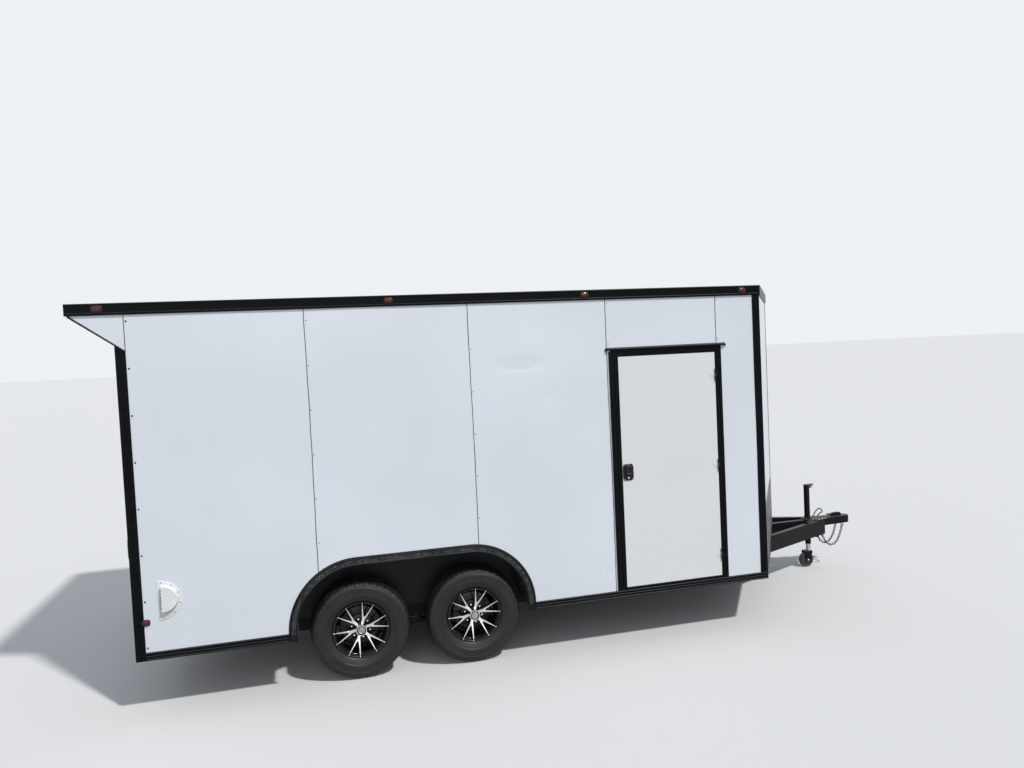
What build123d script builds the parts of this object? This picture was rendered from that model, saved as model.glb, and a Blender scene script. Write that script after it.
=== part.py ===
from build123d import *
import math
import os

# Enclosed tandem-axle car trailer with a V nose, a side door and a rear ramp.
# Millimetres. +X points forward to the coupler, +Y to the trailer's left and +Z up.
# The origin is on the ground below the middle of the overall length and width.
# Lengths along the body are written from its rear seam, where the side skin starts.

# Body
box_length = 4815.0
rear_post = 66.0
skin_half = 1283.5
trim_depth = 12.0
wall = 48.0
skin_low = 437.0
skin_high = 2752.0
trim_height = 80.0
trim_low = 379.0
trim_lip = 6.0
trim_return = 30.0
nose_depth = 875.0
spoiler_reach = 357.0
spoiler_drop = 256.0
joint_gap = 0.6
seat_gap = 0.3
moving_gap = 5.0
first_panel = 1174.0
second_panel = 1185.0
door_panel = 953.0
last_panel = 405.0
corner_trim = 65.0
post_proud = 6.0
guard_low = 388.0
guard_height = 610.0
guard_sheet = 3.0
rail_proud = 5.0
rib_proud = 3.0
rib_rows = 7
cap_reach = 30.0
room = 5000.0

# Floor and frame
frame_top = 490.0
rail_depth = 152.0
rail_width = 51.0
rail_inset = 325.5
deck = 19.0
cross_depth = 76.0
cross_width = 51.0
cross_count = 11
sill_lip = 10.0
sill_width = 66.0
shelf_depth = 57.0

# Tongue
tongue_reach = 1453.0
tongue_meet_half = 40.0
tongue_angle = 24.0
coupler_ahead = 332.0
coupler_behind = 106.0
coupler_half = 46.0
coupler_drop = 66.0
coupler_plate = 7.0
ball_inset = 55.0
ball_bore = 29.7
ball_bore_depth = 24.0

# Jack
jack_inset = 160.0
jack_tube = 28.5
jack_bore = 25.0
jack_top = 854.0
jack_low = 237.0
jack_cap = 8.0
jack_plate = 8.0
ram_radius = 24.0
ram_length = 590.0
caster_radius = 75.0
caster_half = 25.0
caster_trail = 30.0
caster_bore = 8.5
fork_top = 165.0
fork_sheet = 6.0
crank_reach = 120.0

# Wheels and axles
tyre_radius = 366.7
tyre_half = 117.5
bulge_radius = 288.0
tread_half = 97.0
wheel_inset = 178.0
axle_front = 2315.5
axle_spacing = 861.0
rim_radius = 208.0
bead_radius = 192.7
rim_half = 92.0
rim_seat = 85.0
barrel_radius = 180.0
fork_radius = 84.0
crotch = 22.0
tip_half = 5.5
pad_radius = 96.0
pad_depth = 18.0
pilot_radius = 41.0
cap_radius = 40.0
cap_height = 72.0
spoke_count = 6
spoke_turn = 18.5
taper_start = 78.0
wheel_sides = 32
pin_sides = 12
fork_angle = 12.0
drum_radius = 155.0
drum_depth = 96.0
axle_drop = 102.0
axle_tube = 38.0
bracket_depth = 20.0
clamp_bar = 8.0
spindle_radius = 19.0
spring_half = 320.5
spring_width = 45.0
spring_rise = 74.0
leaf = 9.0
leaf_count = 3
eye_radius = 16.0
eye_pin = 8.5
hanger_sheet = 6.0
rocker_reach = 60.0
bolt_head = 8.0

# Wheel arch
arch_shift = 19.5
arch_half = 861.5
arch_top = 880.0
arch_corner = 440.0
flare = 60.0
flare_depth = 5.0
well_sheet = 3.0
well_room = 22.0

# Side door
door_inset = 422.0
door_width = 851.0
door_low = 454.0
door_head = 449.0
frame_rear = 72.0
frame_front = 54.0
frame_low = 16.0
frame_high = 38.0
frame_proud = 9.0
jamb = 10.0
stop = 14.0
leaf_depth = 38.0
leaf_proud = 6.0
frame_groove = 3.0
lip_depth = 4.0
drip_rise = 17.0
drip_over = 37.0
drip_height = 16.0
drip_depth = 22.0
drip_fall = 4.0
drip_lip = 6.0
drip_short = 15.0
door_hinge_radius = 7.0
door_hinge_step = 30.0
knuckle_gap = 0.3
hinge_back = 4.0
hinge_short = 10.0
strap_length = 40.0
strap_sheet = 3.0
latch_inset = 50.0
latch_z = 1380.0
latch_depth = 10.0
latch_rear = 38.0
latch_front = 42.0
latch_half = 66.0
latch_edge = 5.0
dish_rim = 10.0
dish_low = 30.0
dish_high = 54.0
dish_depth = 5.0
paddle_rim = 16.0
paddle_low = 26.0
paddle_high = 44.0
paddle_out = 22.0
paddle_edge = 4.0
key_drop = 48.0
key_out = 14.0
key_radius = 10.0
bar_sides = 8

# Rear ramp
jamb_width = 112.5
ramp_gap = 6.0
ramp_depth = 50.0
ramp_low = 470.0
ramp_pivot = 459.0
ramp_hinge = 8.0
barrel_inset = 15.0
barrel_count = 9
barrel_gap = 1.0
hinge_web = 3.0
ramp_groove = 4.0
flap_over = 4.0
header_height = 305.0
header_gap = 12.0
header_depth = 56.0
flap_length = 400.0
flap_depth = 15.0
flap_inset = 65.0
lock_inset = 115.0
lock_reach = 1015.0
lock_out = 22.0
lock_bar = 12.0
guide_half = 22.0
lever_rise = 140.0
lever_length = 200.0
lever_width = 30.0
ear = 6.0
ear_out = 14.0
ear_drop = 4.0
ear_length = 32.0
guide_edge = 4.0
lever_edge = 2.0

# Lamps and vents
lamp_rise = 46.0
amber_spacing = [1774.0, 3287.0]
amber_inset = 161.0
red_x = -153.0
low_lamp_x = 20.0
low_lamp_z = 643.0
tail_lamp_z = 1150.0
tail_lamp_height = 165.0
tail_lamp_width = 60.0
work_lamp_y = 700.0
work_lamp_length = 165.0
work_lamp_width = 60.0
work_lamp_depth = 14.0
work_lamp_share = 0.6
tail_lamp_depth = 16.0
marker_length = 64.0
marker_height = 20.0
marker_depth = 9.0
marker_step = 160.0
low_lamp_length = 38.0
low_lamp_height = 26.0
low_lamp_depth = 12.0
lamp_corner = 0.28
vent_x = 99.0
vent_z = 785.5
vent_height = 295.0
vent_width = 155.0
vent_flange = 5.0
vent_proud = 34.0
vent_shift = 20.0
vent_inset = 120.0
scoop_width = 0.74
scoop_height = 0.66

# Safety chains and plug cable
chain_wire = 7.0
link_length = 25.0
link_width = 11.0
link_count = 16
chain_y = 50.0
chain_rear = 23.0
chain_front = 60.0
link_bite = 1.0
eye_height = 22.0
cable_radius = 6.0
cable_rise = 12.0
cable_turns = [(-278.0, 163.8, 0.0), (-206.0, 131.75, 0.0), (-140.0, 98.0, 82.0),
               (-56.0, 62.0, 116.0), (10.0, 22.0, 54.0), (36.0, -58.0, 26.0),
               (36.0, -119.0, -24.0), (36.0, -124.0, -100.0), (36.0, -124.0, -162.0)]
plug_radius = 22.0
plug_length = 82.0

# Places that follow from the sizes above
trim_high = skin_high + trim_height
rail_outer = skin_half - rail_inset
seams = [0.0, first_panel, first_panel + second_panel, box_length - last_panel - door_panel,
         box_length - last_panel]
tongue_meet = box_length + tongue_reach
coupler_end = tongue_meet + coupler_ahead
coupler_back = tongue_meet - coupler_behind
ball_x = coupler_end - ball_inset
jack_x = tongue_meet - jack_inset
arch_middle = axle_front - axle_spacing / 2 - arch_shift
door_front = box_length - door_inset
door_rear = door_front - door_width
door_high = skin_high - door_head
latch_x = door_rear + latch_inset
jamb_half = skin_half - jamb_width
ramp_half = jamb_half - ramp_gap
flap_half = ramp_half - flap_inset
header_low = skin_high - header_height
ramp_high = header_low - header_gap
amber_x = amber_spacing + [box_length - amber_inset]
lamp_z = skin_high + lamp_rise
overall = spoiler_reach + coupler_end
rear = spoiler_reach - overall / 2


def along(distance):
    """A place along the body, given from its rear seam, in the part's own frame."""
    return rear + distance


def block(x0, x1, y0, y1, z0, z1):
    """A square-cornered solid between two corners."""
    centre = Pos((x0 + x1) / 2, (y0 + y1) / 2, (z0 + z1) / 2)
    return centre * Box(x1 - x0, y1 - y0, z1 - z0)


def outline(points):
    """A flat face with straight sides through the given points."""
    return make_face(Polyline(*points, close=True))


def side_prism(face, y0, y1):
    """A face drawn in X and Z, carried across the trailer from y0 to y1."""
    return extrude(Pos(0, y1, 0) * (Plane.XZ * face), amount=y1 - y0)


def plan_prism(face, z0, z1):
    """A face drawn in X and Y, carried up from z0 to z1."""
    return extrude(Pos(0, 0, z0) * face, amount=z1 - z0)


def length_prism(face, x0, x1):
    """A face drawn in Y and Z, carried forward from x0 to x1."""
    return extrude(Pos(x0, 0, 0) * (Plane.YZ * face), amount=x1 - x0)


def rod(start, end, radius):
    """A round bar between two points."""
    a = Vector(*start)
    b = Vector(*end)
    return extrude(Plane(origin=a, z_dir=b - a) * Circle(radius), amount=(b - a).length)


def bar(start, end, radius, sides):
    """A bar with flat sides between two points, for pins, heads and barrels that stay light."""
    a = Vector(*start)
    b = Vector(*end)
    return extrude(Plane(origin=a, z_dir=b - a) * RegularPolygon(radius, sides),
                   amount=(b - a).length)


def faceted(rings, sides, hollow):
    """A turned form made of flats, round the local Z axis, from the radii and heights of its
    section in order. A hollow form's last ring joins its first, and a solid one is closed by its
    first and last rings. The flats touch the true radius, so that a wheel stands on one."""
    reach = 1 / math.cos(math.pi / sides)
    turns = [2 * math.pi * (number + 0.5) / sides for number in range(sides)]
    rows = [[(r * reach * math.cos(a), r * reach * math.sin(a), z) for a in turns] for r, z in rings]
    faces = [] if hollow else [outline(rows[0]), outline(rows[-1])]
    pairs = list(zip(rows, rows[1:] + rows[:1])) if hollow else list(zip(rows, rows[1:]))
    for near, far in pairs:
        for a in range(sides):
            b = (a + 1) % sides
            faces.append(outline([near[a], near[b], far[b], far[a]]))
    return Solid(Shell(faces))


def oval(length, height):
    """The face of a small lamp: a bar with cut corners."""
    face = Rectangle(length, height)
    return chamfer(face.vertices(), min(length, height) * lamp_corner)


def left_of(shape):
    """The same shape on the trailer's left side."""
    return mirror(shape, about=Plane.XZ)


def both(shapes):
    """Shapes on the right side with their mirror images on the left."""
    return shapes + [left_of(shape) for shape in shapes]


nose_base = along(box_length)
nose_slope = nose_depth / skin_half
nose_lead = math.hypot(nose_depth, skin_half) / skin_half
roof_low = skin_high
frame_low_z = frame_top - rail_depth
wall_in = skin_half - wall
wheel_y = skin_half - wheel_inset
axle_xs = {"front": along(axle_front), "rear": along(axle_front - axle_spacing)}
tongue_slope = math.tan(math.radians(tongue_angle))
tongue_half = rail_width / 2 / math.cos(math.radians(tongue_angle))
well_side = rail_outer + well_sheet
ramp_x = along(-rear_post)


def plan_face(grow, tail):
    """The body's plan from its tail to the nose, with every side moved out by grow."""
    half = skin_half + grow
    tip = nose_base + nose_depth + grow * nose_lead
    shoulder = tip - nose_slope * half
    return outline([(tail, -half), (shoulder, -half), (tip, 0), (shoulder, half), (tail, half)])


def plan_ring(outer, inner, outer_tail, inner_tail, z0, z1):
    """A band that follows the body's plan between two offsets of its sides."""
    return plan_prism(plan_face(outer, outer_tail), z0, z1) - plan_prism(
        plan_face(inner, inner_tail), z0, z1)


def ahead_of(x):
    """All the room ahead of a place along the trailer."""
    return block(x, x + room, -room, room, -room, room)


def slab_x(x):
    """A thin cut across the trailer."""
    return block(x - joint_gap / 2, x + joint_gap / 2, -room, room, -room, room)


def slab_middle():
    """A thin cut down the middle of the nose."""
    return block(nose_base, nose_base + room, -joint_gap / 2, joint_gap / 2, -room, room)


def arch_face(grow, low):
    """The wheel arch in side view: a flat top with round corners, moved out by grow."""
    x0 = along(arch_middle - arch_half - grow)
    x1 = along(arch_middle + arch_half + grow)
    top = arch_top + grow
    face = Pos((x0 + x1) / 2, (low + top) / 2) * Rectangle(x1 - x0, top - low)
    return fillet(face.vertices().sort_by(Axis.Y)[-2:], arch_corner + grow)


def arch_ends():
    """Two thin cuts across the trailer, where an arch's corners meet its flat top."""
    reach = arch_half - arch_corner
    return slab_x(along(arch_middle - reach)) + slab_x(along(arch_middle + reach))


def arch_room(grow):
    """The room through the right wall and floor that a wheel arch takes."""
    return side_prism(arch_face(grow, 0), -skin_half - flare, -rail_outer)


def tube_line(x):
    """How far the middle of a side tongue tube is from the centre line at x."""
    return tongue_meet_half + (along(tongue_meet) - x) * tongue_slope


def side_tube(gap, start, end):
    """The right tongue tube between two places along the trailer, grown by gap."""
    half = tongue_half + gap
    face = outline([(start, -tube_line(start) - half), (end, -tube_line(end) - half),
                    (end, -tube_line(end) + half), (start, -tube_line(start) + half)])
    return plan_prism(face, frame_low_z - gap, frame_top + gap)


def middle_tube(gap, start, end):
    """The middle tongue tube between two places along the trailer, grown by gap."""
    half = rail_width / 2 + gap
    return block(start, end, -half, half, frame_low_z - gap, frame_top + gap)


def without_tubes(shape):
    """A shape of the nose with room for the three tongue tubes to pass."""
    start = nose_base - rail_width
    side = side_tube(joint_gap, start, along(tongue_meet))
    return shape - side - left_of(side) - middle_tube(joint_gap, start, along(jack_x))


def main_rails():
    rail = block(along(sill_width), nose_base - rail_width, -rail_outer,
                 rail_width - rail_outer, frame_low_z, frame_top)
    return both([rail])


def tongue_tubes():
    side = side_tube(0, nose_base, along(tongue_meet))
    end = along(jack_x) - jack_tube - 2 * jack_plate
    return both([side]) + [middle_tube(0, nose_base, end), cable_gland()]


def crossmembers():
    low = frame_top - cross_depth
    first = along(sill_width)
    last = nose_base - rail_width
    step = (last - first) / (cross_count + 1)
    inner = rail_outer - rail_width
    side_out = wall_in
    side_in = side_out - cross_width
    solids = [block(last, nose_base, -rail_outer, rail_outer, frame_low_z, frame_top)]
    arch_start = along(arch_middle - arch_half) - 2 * well_sheet
    arch_stop = along(arch_middle + arch_half) + 2 * well_sheet
    for number in range(cross_count):
        x = first + step * (number + 1) - cross_width / 2
        solids.append(block(x, x + cross_width, -inner, inner, low, frame_top))
        if x + cross_width < arch_start or x > arch_stop:
            solids += both([block(x, x + cross_width, -side_in, -rail_outer, low, frame_top)])
    for start, stop_x in [(first, arch_start), (arch_stop, last)]:
        solids += both([block(start, stop_x, -side_out, -side_in, low, frame_top)])
    ring = plan_ring(-wall, -wall - cross_width, first, first, low, frame_top)
    front = without_tubes(ring & ahead_of(nose_base)) - slab_middle()
    return solids + list(front.solids())


def floor_deck():
    sheet = plan_prism(plan_face(-wall, along(0)), frame_top, frame_top + deck)
    reach = jamb_half - seat_gap
    sheet = sheet + block(along(-sill_lip), along(0), -reach, reach, frame_top, frame_top + deck)
    x0 = along(arch_middle - arch_half) - 2 * well_sheet
    x1 = along(arch_middle + arch_half) + 2 * well_sheet
    for side in both([block(x0, x1, -skin_half, seat_gap - rail_outer, 0, frame_top * 2)]):
        sheet = sheet - side
    return [sheet]


def wheel_wells():
    """A box over each pair of wheels: two bent corners, a flat top and a plate on its inner side."""
    low = skin_low
    strip = side_prism(arch_face(well_sheet, low) - arch_face(0, low), -skin_half,
                       -well_side - seat_gap)
    plate = side_prism(arch_face(well_sheet, low), -well_side, -rail_outer)
    return both(list((strip - arch_ends()).solids()) + [plate])


def arch_flares():
    """The broad trim round each wheel arch in three lengths, with a lip along its inner edge."""
    low = trim_low
    face = arch_face(flare, low) - arch_face(0, low)
    band = side_prism(face, -skin_half - flare_depth, -skin_half)
    bead = arch_face(flare_depth, low) - arch_face(0, low)
    lip = side_prism(bead, -skin_half - 2 * flare_depth, -skin_half - flare_depth)
    return both(list((band + lip - arch_ends()).solids()))


def wall_panel(start, end, door):
    """One sheet of the right wall with its studs and lining, between two seams."""
    panel = block(along(start), along(end), -skin_half, -wall_in, skin_low, skin_high)
    panel = panel - arch_room(well_room)
    if door:
        reach = jamb + seat_gap
        panel = panel - block(along(door_rear) - reach, along(door_front) + reach, -skin_half,
                              -wall_in, door_low - reach, door_high + reach)
    return panel


def nose_walls():
    ring = plan_ring(0, -wall, 0, 0, skin_low, skin_high)
    return without_tubes(ring & ahead_of(nose_base)) - slab_middle()


def stone_guard():
    """Tread plate over the lower part of both nose faces."""
    ring = plan_ring(guard_sheet, 0, 0, 0, guard_low, guard_low + guard_height)
    return without_tubes(ring & ahead_of(nose_base)) - slab_middle()


def roof():
    return plan_prism(plan_face(0, along(trim_depth - spoiler_reach)), roof_low,
                      trim_high - trim_lip)


def top_trim():
    """A deep angle round the edge of the roof, in one length for each side."""
    tail = along(-spoiler_reach)
    band = plan_ring(trim_depth, 0, tail, tail + trim_depth, roof_low, trim_high)
    lip = plan_ring(trim_depth, -trim_return, tail, tail + trim_return,
                    trim_high - trim_lip, trim_high)
    return (band + lip) - slab_x(nose_base) - slab_x(tail + 2 * trim_return) - slab_middle()


def bottom_trim():
    """A ribbed rail under the side skins, and a plain one under the nose."""
    rib = (skin_low - trim_low) / rib_rows
    outer = -skin_half - rail_proud
    face = outline([(-wall_in, trim_low), (-wall_in, skin_low), (outer, skin_low), (outer, trim_low)])
    for number in range(1, rib_rows - 1, 2):
        z = trim_low + rib * number
        face = face + Pos(outer - rib_proud / 2, z + rib / 2) * Rectangle(rib_proud, rib)
    spans = [(0, arch_middle - arch_half - flare), (arch_middle + arch_half + flare,
                                                   box_length - corner_trim)]
    sides = [length_prism(face, along(a), along(b)) for a, b in spans]
    ring = plan_ring(0, -wall, 0, 0, trim_low, skin_low)
    front = without_tubes(ring & ahead_of(nose_base)) - slab_middle()
    return both(sides) + list(front.solids())


def corner_posts():
    """The rear door posts, the front corner trims and the cap on the nose's edge."""
    proud = skin_half + post_proud
    slope = spoiler_drop / spoiler_reach
    low_cut = skin_high - spoiler_drop
    face = outline([(ramp_x, trim_low), (along(0), trim_low), (along(0), low_cut),
                    (ramp_x, low_cut + rear_post * slope)])
    post = side_prism(face, -proud, -wall_in)
    post = post + block(ramp_x, along(0), -wall_in, -jamb_half, trim_low, skin_high)
    front = block(nose_base - corner_trim, nose_base, -proud, -skin_half, trim_low, skin_high)
    front = front + block(nose_base - corner_trim, nose_base, -skin_half, -wall_in,
                          trim_low, skin_low)
    cap = plan_ring(guard_sheet, 0, 0, 0, guard_low + guard_height, skin_high)
    tip = nose_base + nose_depth
    cap = cap & block(tip - cap_reach, tip + cap_reach, -2 * cap_reach, 2 * cap_reach, 0, room)
    return both([post, front]) + list(cap.solids())


def rear_frame():
    """The header over the ramp and the sill that carries its hinge."""
    header = block(ramp_x, ramp_x + header_depth, -jamb_half, jamb_half, header_low, skin_high)
    reach = jamb_half - seat_gap
    shelf_top = trim_low + shelf_depth
    sill = block(along(0), along(sill_width), -wall_in, wall_in, trim_low, frame_top)
    sill = sill + block(along(-sill_lip), along(0), -reach, reach, trim_low, frame_top)
    sill = sill + block(ramp_x + ramp_hinge, along(-sill_lip), -reach, reach, trim_low, shelf_top)
    for start, stop_y in hinge_spans(0):
        sill = sill + bar((ramp_x, start, ramp_pivot), (ramp_x, stop_y, ramp_pivot), ramp_hinge,
                          pin_sides)
        sill = sill + block(ramp_x + ramp_hinge - hinge_web, ramp_x + ramp_hinge + hinge_web,
                            start, stop_y, shelf_top, ramp_pivot)
    return [header, sill]


def hinge_spans(turn):
    """The lengths of the ramp hinge's barrel: turn 0 for the sill's, 1 for the ramp's."""
    half = ramp_half - barrel_inset
    pitch = 2 * half / barrel_count
    spans = []
    for number in range(barrel_count):
        start = pitch * number - half
        if number % 2 == turn:
            spans.append((start, start + pitch - barrel_gap))
    return spans


def spoiler():
    """The closed overhang behind the roof, with its white sides and slanted underside."""
    low = skin_high - spoiler_drop
    slope = spoiler_drop / spoiler_reach
    tail = along(-spoiler_reach)
    lift = trim_depth * slope
    side = side_prism(outline([(tail + trim_depth, skin_high), (along(0), skin_high),
                               (along(0), low), (tail + trim_depth, skin_high - lift)]),
                      -skin_half, -wall_in)
    middle = side_prism(outline([(tail + trim_depth, skin_high), (ramp_x, skin_high),
                                 (ramp_x, low + rear_post * slope),
                                 (tail + trim_depth, skin_high - lift)]), -wall_in, wall_in)
    return side + middle + left_of(side)


def door_frame():
    """Four grooved lengths round the side door, and the drip cap over it."""
    x0 = along(door_rear)
    x1 = along(door_front)
    outer = block(x0 - frame_rear, x1 + frame_front, -skin_half - frame_proud, -skin_half,
                  door_low - frame_low, door_high + frame_high)
    legs = block(x0 - jamb, x1 + jamb, -skin_half, -wall_in, door_low - jamb, door_high + jamb)
    hole = block(x0, x1, -skin_half - wall, -wall_in + wall, door_low, door_high)
    lips = block(x0 - jamb, x1 + jamb, -wall_in - lip_depth, -wall_in, door_low - jamb,
                 door_high + jamb)
    lips = lips - block(x0 + stop, x1 - stop, -wall_in - wall, -wall_in + wall,
                        door_low + stop, door_high - stop)
    ring = (outer + legs) - hole + lips
    for x, width in [(x0 - frame_rear / 2, frame_rear / 3), (x1 + frame_front / 2,
                                                            frame_front / 3)]:
        ring = ring - block(x - width / 2, x + width / 2, -skin_half - frame_proud,
                            frame_groove - skin_half - frame_proud, door_low, door_high)
    for x in (x0 + stop, x1 - stop):
        ring = ring - slab_x(x)
    bars = list(ring.solids())
    pin_y = -skin_half - frame_proud - door_hinge_radius
    pin_x = x1 - hinge_back
    front_bar = max(bars, key=lambda s: s.center().X)
    bars.remove(front_bar)
    half = door_hinge_step / 2
    for z in hinge_heights():
        for low, high in [(z - 3 * half, z - half), (z + half, z + 3 * half)]:
            front_bar = front_bar + bar((pin_x, pin_y, low), (pin_x, pin_y, high),
                                        door_hinge_radius, pin_sides)
            front_bar = front_bar + block(pin_x, x1 + frame_front - hinge_short,
                                          pin_y + hinge_back, -skin_half - frame_proud, low, high)
    z0 = door_high + frame_high + drip_rise
    outer = -skin_half - drip_depth
    inner = outer + drip_fall
    drip = length_prism(outline([(-skin_half, z0), (-skin_half, z0 + drip_height),
                                 (outer, z0 + drip_fall), (outer, z0 - drip_lip),
                                 (inner, z0 - drip_lip), (inner, z0)]),
                        x0 - frame_rear - drip_over + drip_short, x1 + frame_front + drip_over)
    return bars + [front_bar, drip]


def hinge_heights():
    """The heights of the side door's three hinges."""
    span = door_high - door_low
    return [door_low + span * share for share in (0.1, 0.5, 0.9)]


def door_leaf():
    x0 = along(door_rear) + moving_gap
    x1 = along(door_front) - moving_gap
    outer = -skin_half - leaf_proud
    panel = block(x0, x1, outer, outer + leaf_depth, door_low + moving_gap,
                  door_high - moving_gap)
    pin_y = -skin_half - frame_proud - door_hinge_radius
    pin_x = along(door_front) - hinge_back
    for z in hinge_heights():
        low = z - door_hinge_step / 2 + knuckle_gap
        high = z + door_hinge_step / 2 - knuckle_gap
        panel = panel + bar((pin_x, pin_y, low), (pin_x, pin_y, high), door_hinge_radius,
                            pin_sides)
        panel = panel + block(x1 - strap_length, pin_x, outer - strap_sheet, outer, low, high)
        panel = panel + block(pin_x - hinge_back, pin_x, pin_y, outer, low, high)
    return panel


def door_latch():
    """A flush paddle latch: a dished bezel with the paddle standing in it."""
    outer = -skin_half - leaf_proud
    x = along(latch_x)
    low = x - latch_rear
    high = x + latch_front
    plate = block(low, high, outer - latch_depth, outer, latch_z - latch_half, latch_z + latch_half)
    plate = chamfer(plate.faces().sort_by(Axis.Y)[0].edges(), latch_edge)
    dish = block(low + dish_rim, high - dish_rim, outer - latch_depth, outer - dish_depth,
                 latch_z - dish_low, latch_z + dish_high)
    paddle = block(low + paddle_rim, high - paddle_rim, outer - paddle_out, outer - paddle_edge,
                   latch_z - paddle_low, latch_z + paddle_high)
    paddle = chamfer(paddle.faces().sort_by(Axis.Y)[0].edges(), paddle_edge)
    lock = bar((x, outer, latch_z - key_drop), (x, outer - key_out, latch_z - key_drop),
               key_radius, bar_sides)
    return (plate - dish) + paddle + lock


def ramp_door():
    leaf_solid = block(ramp_x, ramp_x + ramp_depth, -ramp_half, ramp_half, ramp_low, ramp_high)
    for start, stop_y in hinge_spans(1):
        barrel = bar((ramp_x, start, ramp_pivot), (ramp_x, stop_y, ramp_pivot), ramp_hinge,
                     pin_sides)
        strap = block(ramp_x, ramp_x + ramp_groove, start, stop_y, ramp_pivot, ramp_low)
        leaf_solid = leaf_solid + barrel + strap
    for share in (0.25, 0.5, 0.75):
        z = ramp_low + (ramp_high - ramp_low) * share
        leaf_solid = leaf_solid - block(ramp_x - ramp_groove, ramp_x + ramp_groove, -ramp_half,
                                        ramp_half, z - ramp_groove, z + ramp_groove)
    return leaf_solid


def ramp_flap():
    """The hinged tread-plate flap at the ramp's top, folded against its inner face."""
    x = ramp_x + ramp_depth + seat_gap
    top = ramp_high + flap_over
    return block(x, x + flap_depth, -flap_half, flap_half, top - flap_length, top)


def cam_locks():
    """Two bar locks on the ramp's outer face, each with its guides and lever."""
    y = -ramp_half + lock_inset
    bar_x = ramp_x - lock_out
    top = header_low + header_gap + guide_half
    low = top - lock_reach
    lock = bar((bar_x, y, low), (bar_x, y, top), lock_bar, bar_sides)
    for z in (low + 2 * guide_half, (low + ramp_high) / 2, ramp_high - 2.5 * guide_half):
        lock = lock + block(bar_x - lock_out + guide_edge, ramp_x, y - guide_half, y + guide_half,
                            z - guide_half, z + guide_half)
    lever = block(bar_x - lock_out + guide_edge, bar_x - lock_bar + lever_edge, y - lock_bar,
                  y + lever_length, low + lever_rise, low + lever_rise + lever_width)
    return both([lock + lever])


def cam_keepers():
    """The ears on the header that each lock bar stands between."""
    y = -ramp_half + lock_inset
    inner = lock_bar + ear
    low = header_low + header_gap - ear_drop
    x = ramp_x - lock_out - ear_out
    return both([block(x, ramp_x, start, start + ear, low, low + ear_length)
                 for start in (y - inner - ear, y + inner)])


def lamp_bar(x, z, y, length, height, depth):
    """A small oval lamp standing out of the right side."""
    face = Pos(x, z) * oval(length, height)
    return side_prism(face, y - depth, y)


def amber_lamps():
    y = -skin_half - trim_depth
    return both([lamp_bar(along(x), lamp_z, y, marker_length, marker_height, marker_depth)
                 for x in amber_x])


def red_lamps():
    y = -skin_half - trim_depth
    sides = [lamp_bar(along(red_x), lamp_z, y, marker_length, marker_height, marker_depth),
             lamp_bar(along(low_lamp_x), low_lamp_z, -skin_half, low_lamp_length,
                      low_lamp_height, low_lamp_depth)]
    tail_y = -(jamb_half + skin_half) / 2
    face = Pos(tail_y, tail_lamp_z) * oval(tail_lamp_width, tail_lamp_height)
    sides.append(length_prism(face, ramp_x - tail_lamp_depth, ramp_x))
    middle = []
    tail = along(-spoiler_reach)
    for y in (-marker_step, 0, marker_step):
        face = Pos(y, (skin_high + trim_high) / 2) * oval(marker_length, marker_height)
        middle.append(length_prism(face, tail - marker_depth, tail))
    return both(sides) + middle


def loading_lamps():
    """Two clear work lamps on the slanted underside of the spoiler."""
    slope = math.degrees(math.atan2(spoiler_drop, spoiler_reach))
    x = along(-spoiler_reach * work_lamp_share)
    z = skin_high - spoiler_drop * (1 - work_lamp_share)
    seat = Plane(origin=(x, -work_lamp_y, z), x_dir=(0, 1, 0),
                 z_dir=(-math.sin(math.radians(slope)), 0, -math.cos(math.radians(slope))))
    return both([extrude(seat * oval(work_lamp_length, work_lamp_width), amount=work_lamp_depth)])


def vent(x, z, turn):
    """A moulded flow-through vent: a D-shaped flange with a scoop over its opening."""
    solids = None
    scoop = (vent_width * scoop_width, vent_height * scoop_height, vent_flange, vent_proud,
             vent_shift)
    for width, height, low, high, shift in [(vent_width, vent_height, 0, vent_flange, 0), scoop]:
        half = height / 2
        base = Polyline((x + turn * shift, z - half), (x + turn * shift, z + half))
        round_side = ThreePointArc((x + turn * shift, z + half), (x + turn * (shift + width), z),
                                   (x + turn * shift, z - half))
        face = make_face(base + round_side)
        step = side_prism(face, -skin_half - high, -skin_half - low)
        solids = step if solids is None else solids + step
    return solids


def side_vents():
    """One vent low at the right rear and one low at the left front."""
    right = vent(along(vent_x), vent_z, 1)
    front = vent(along(box_length - corner_trim - vent_inset), vent_z, -1)
    return [right, left_of(front)]


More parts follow.
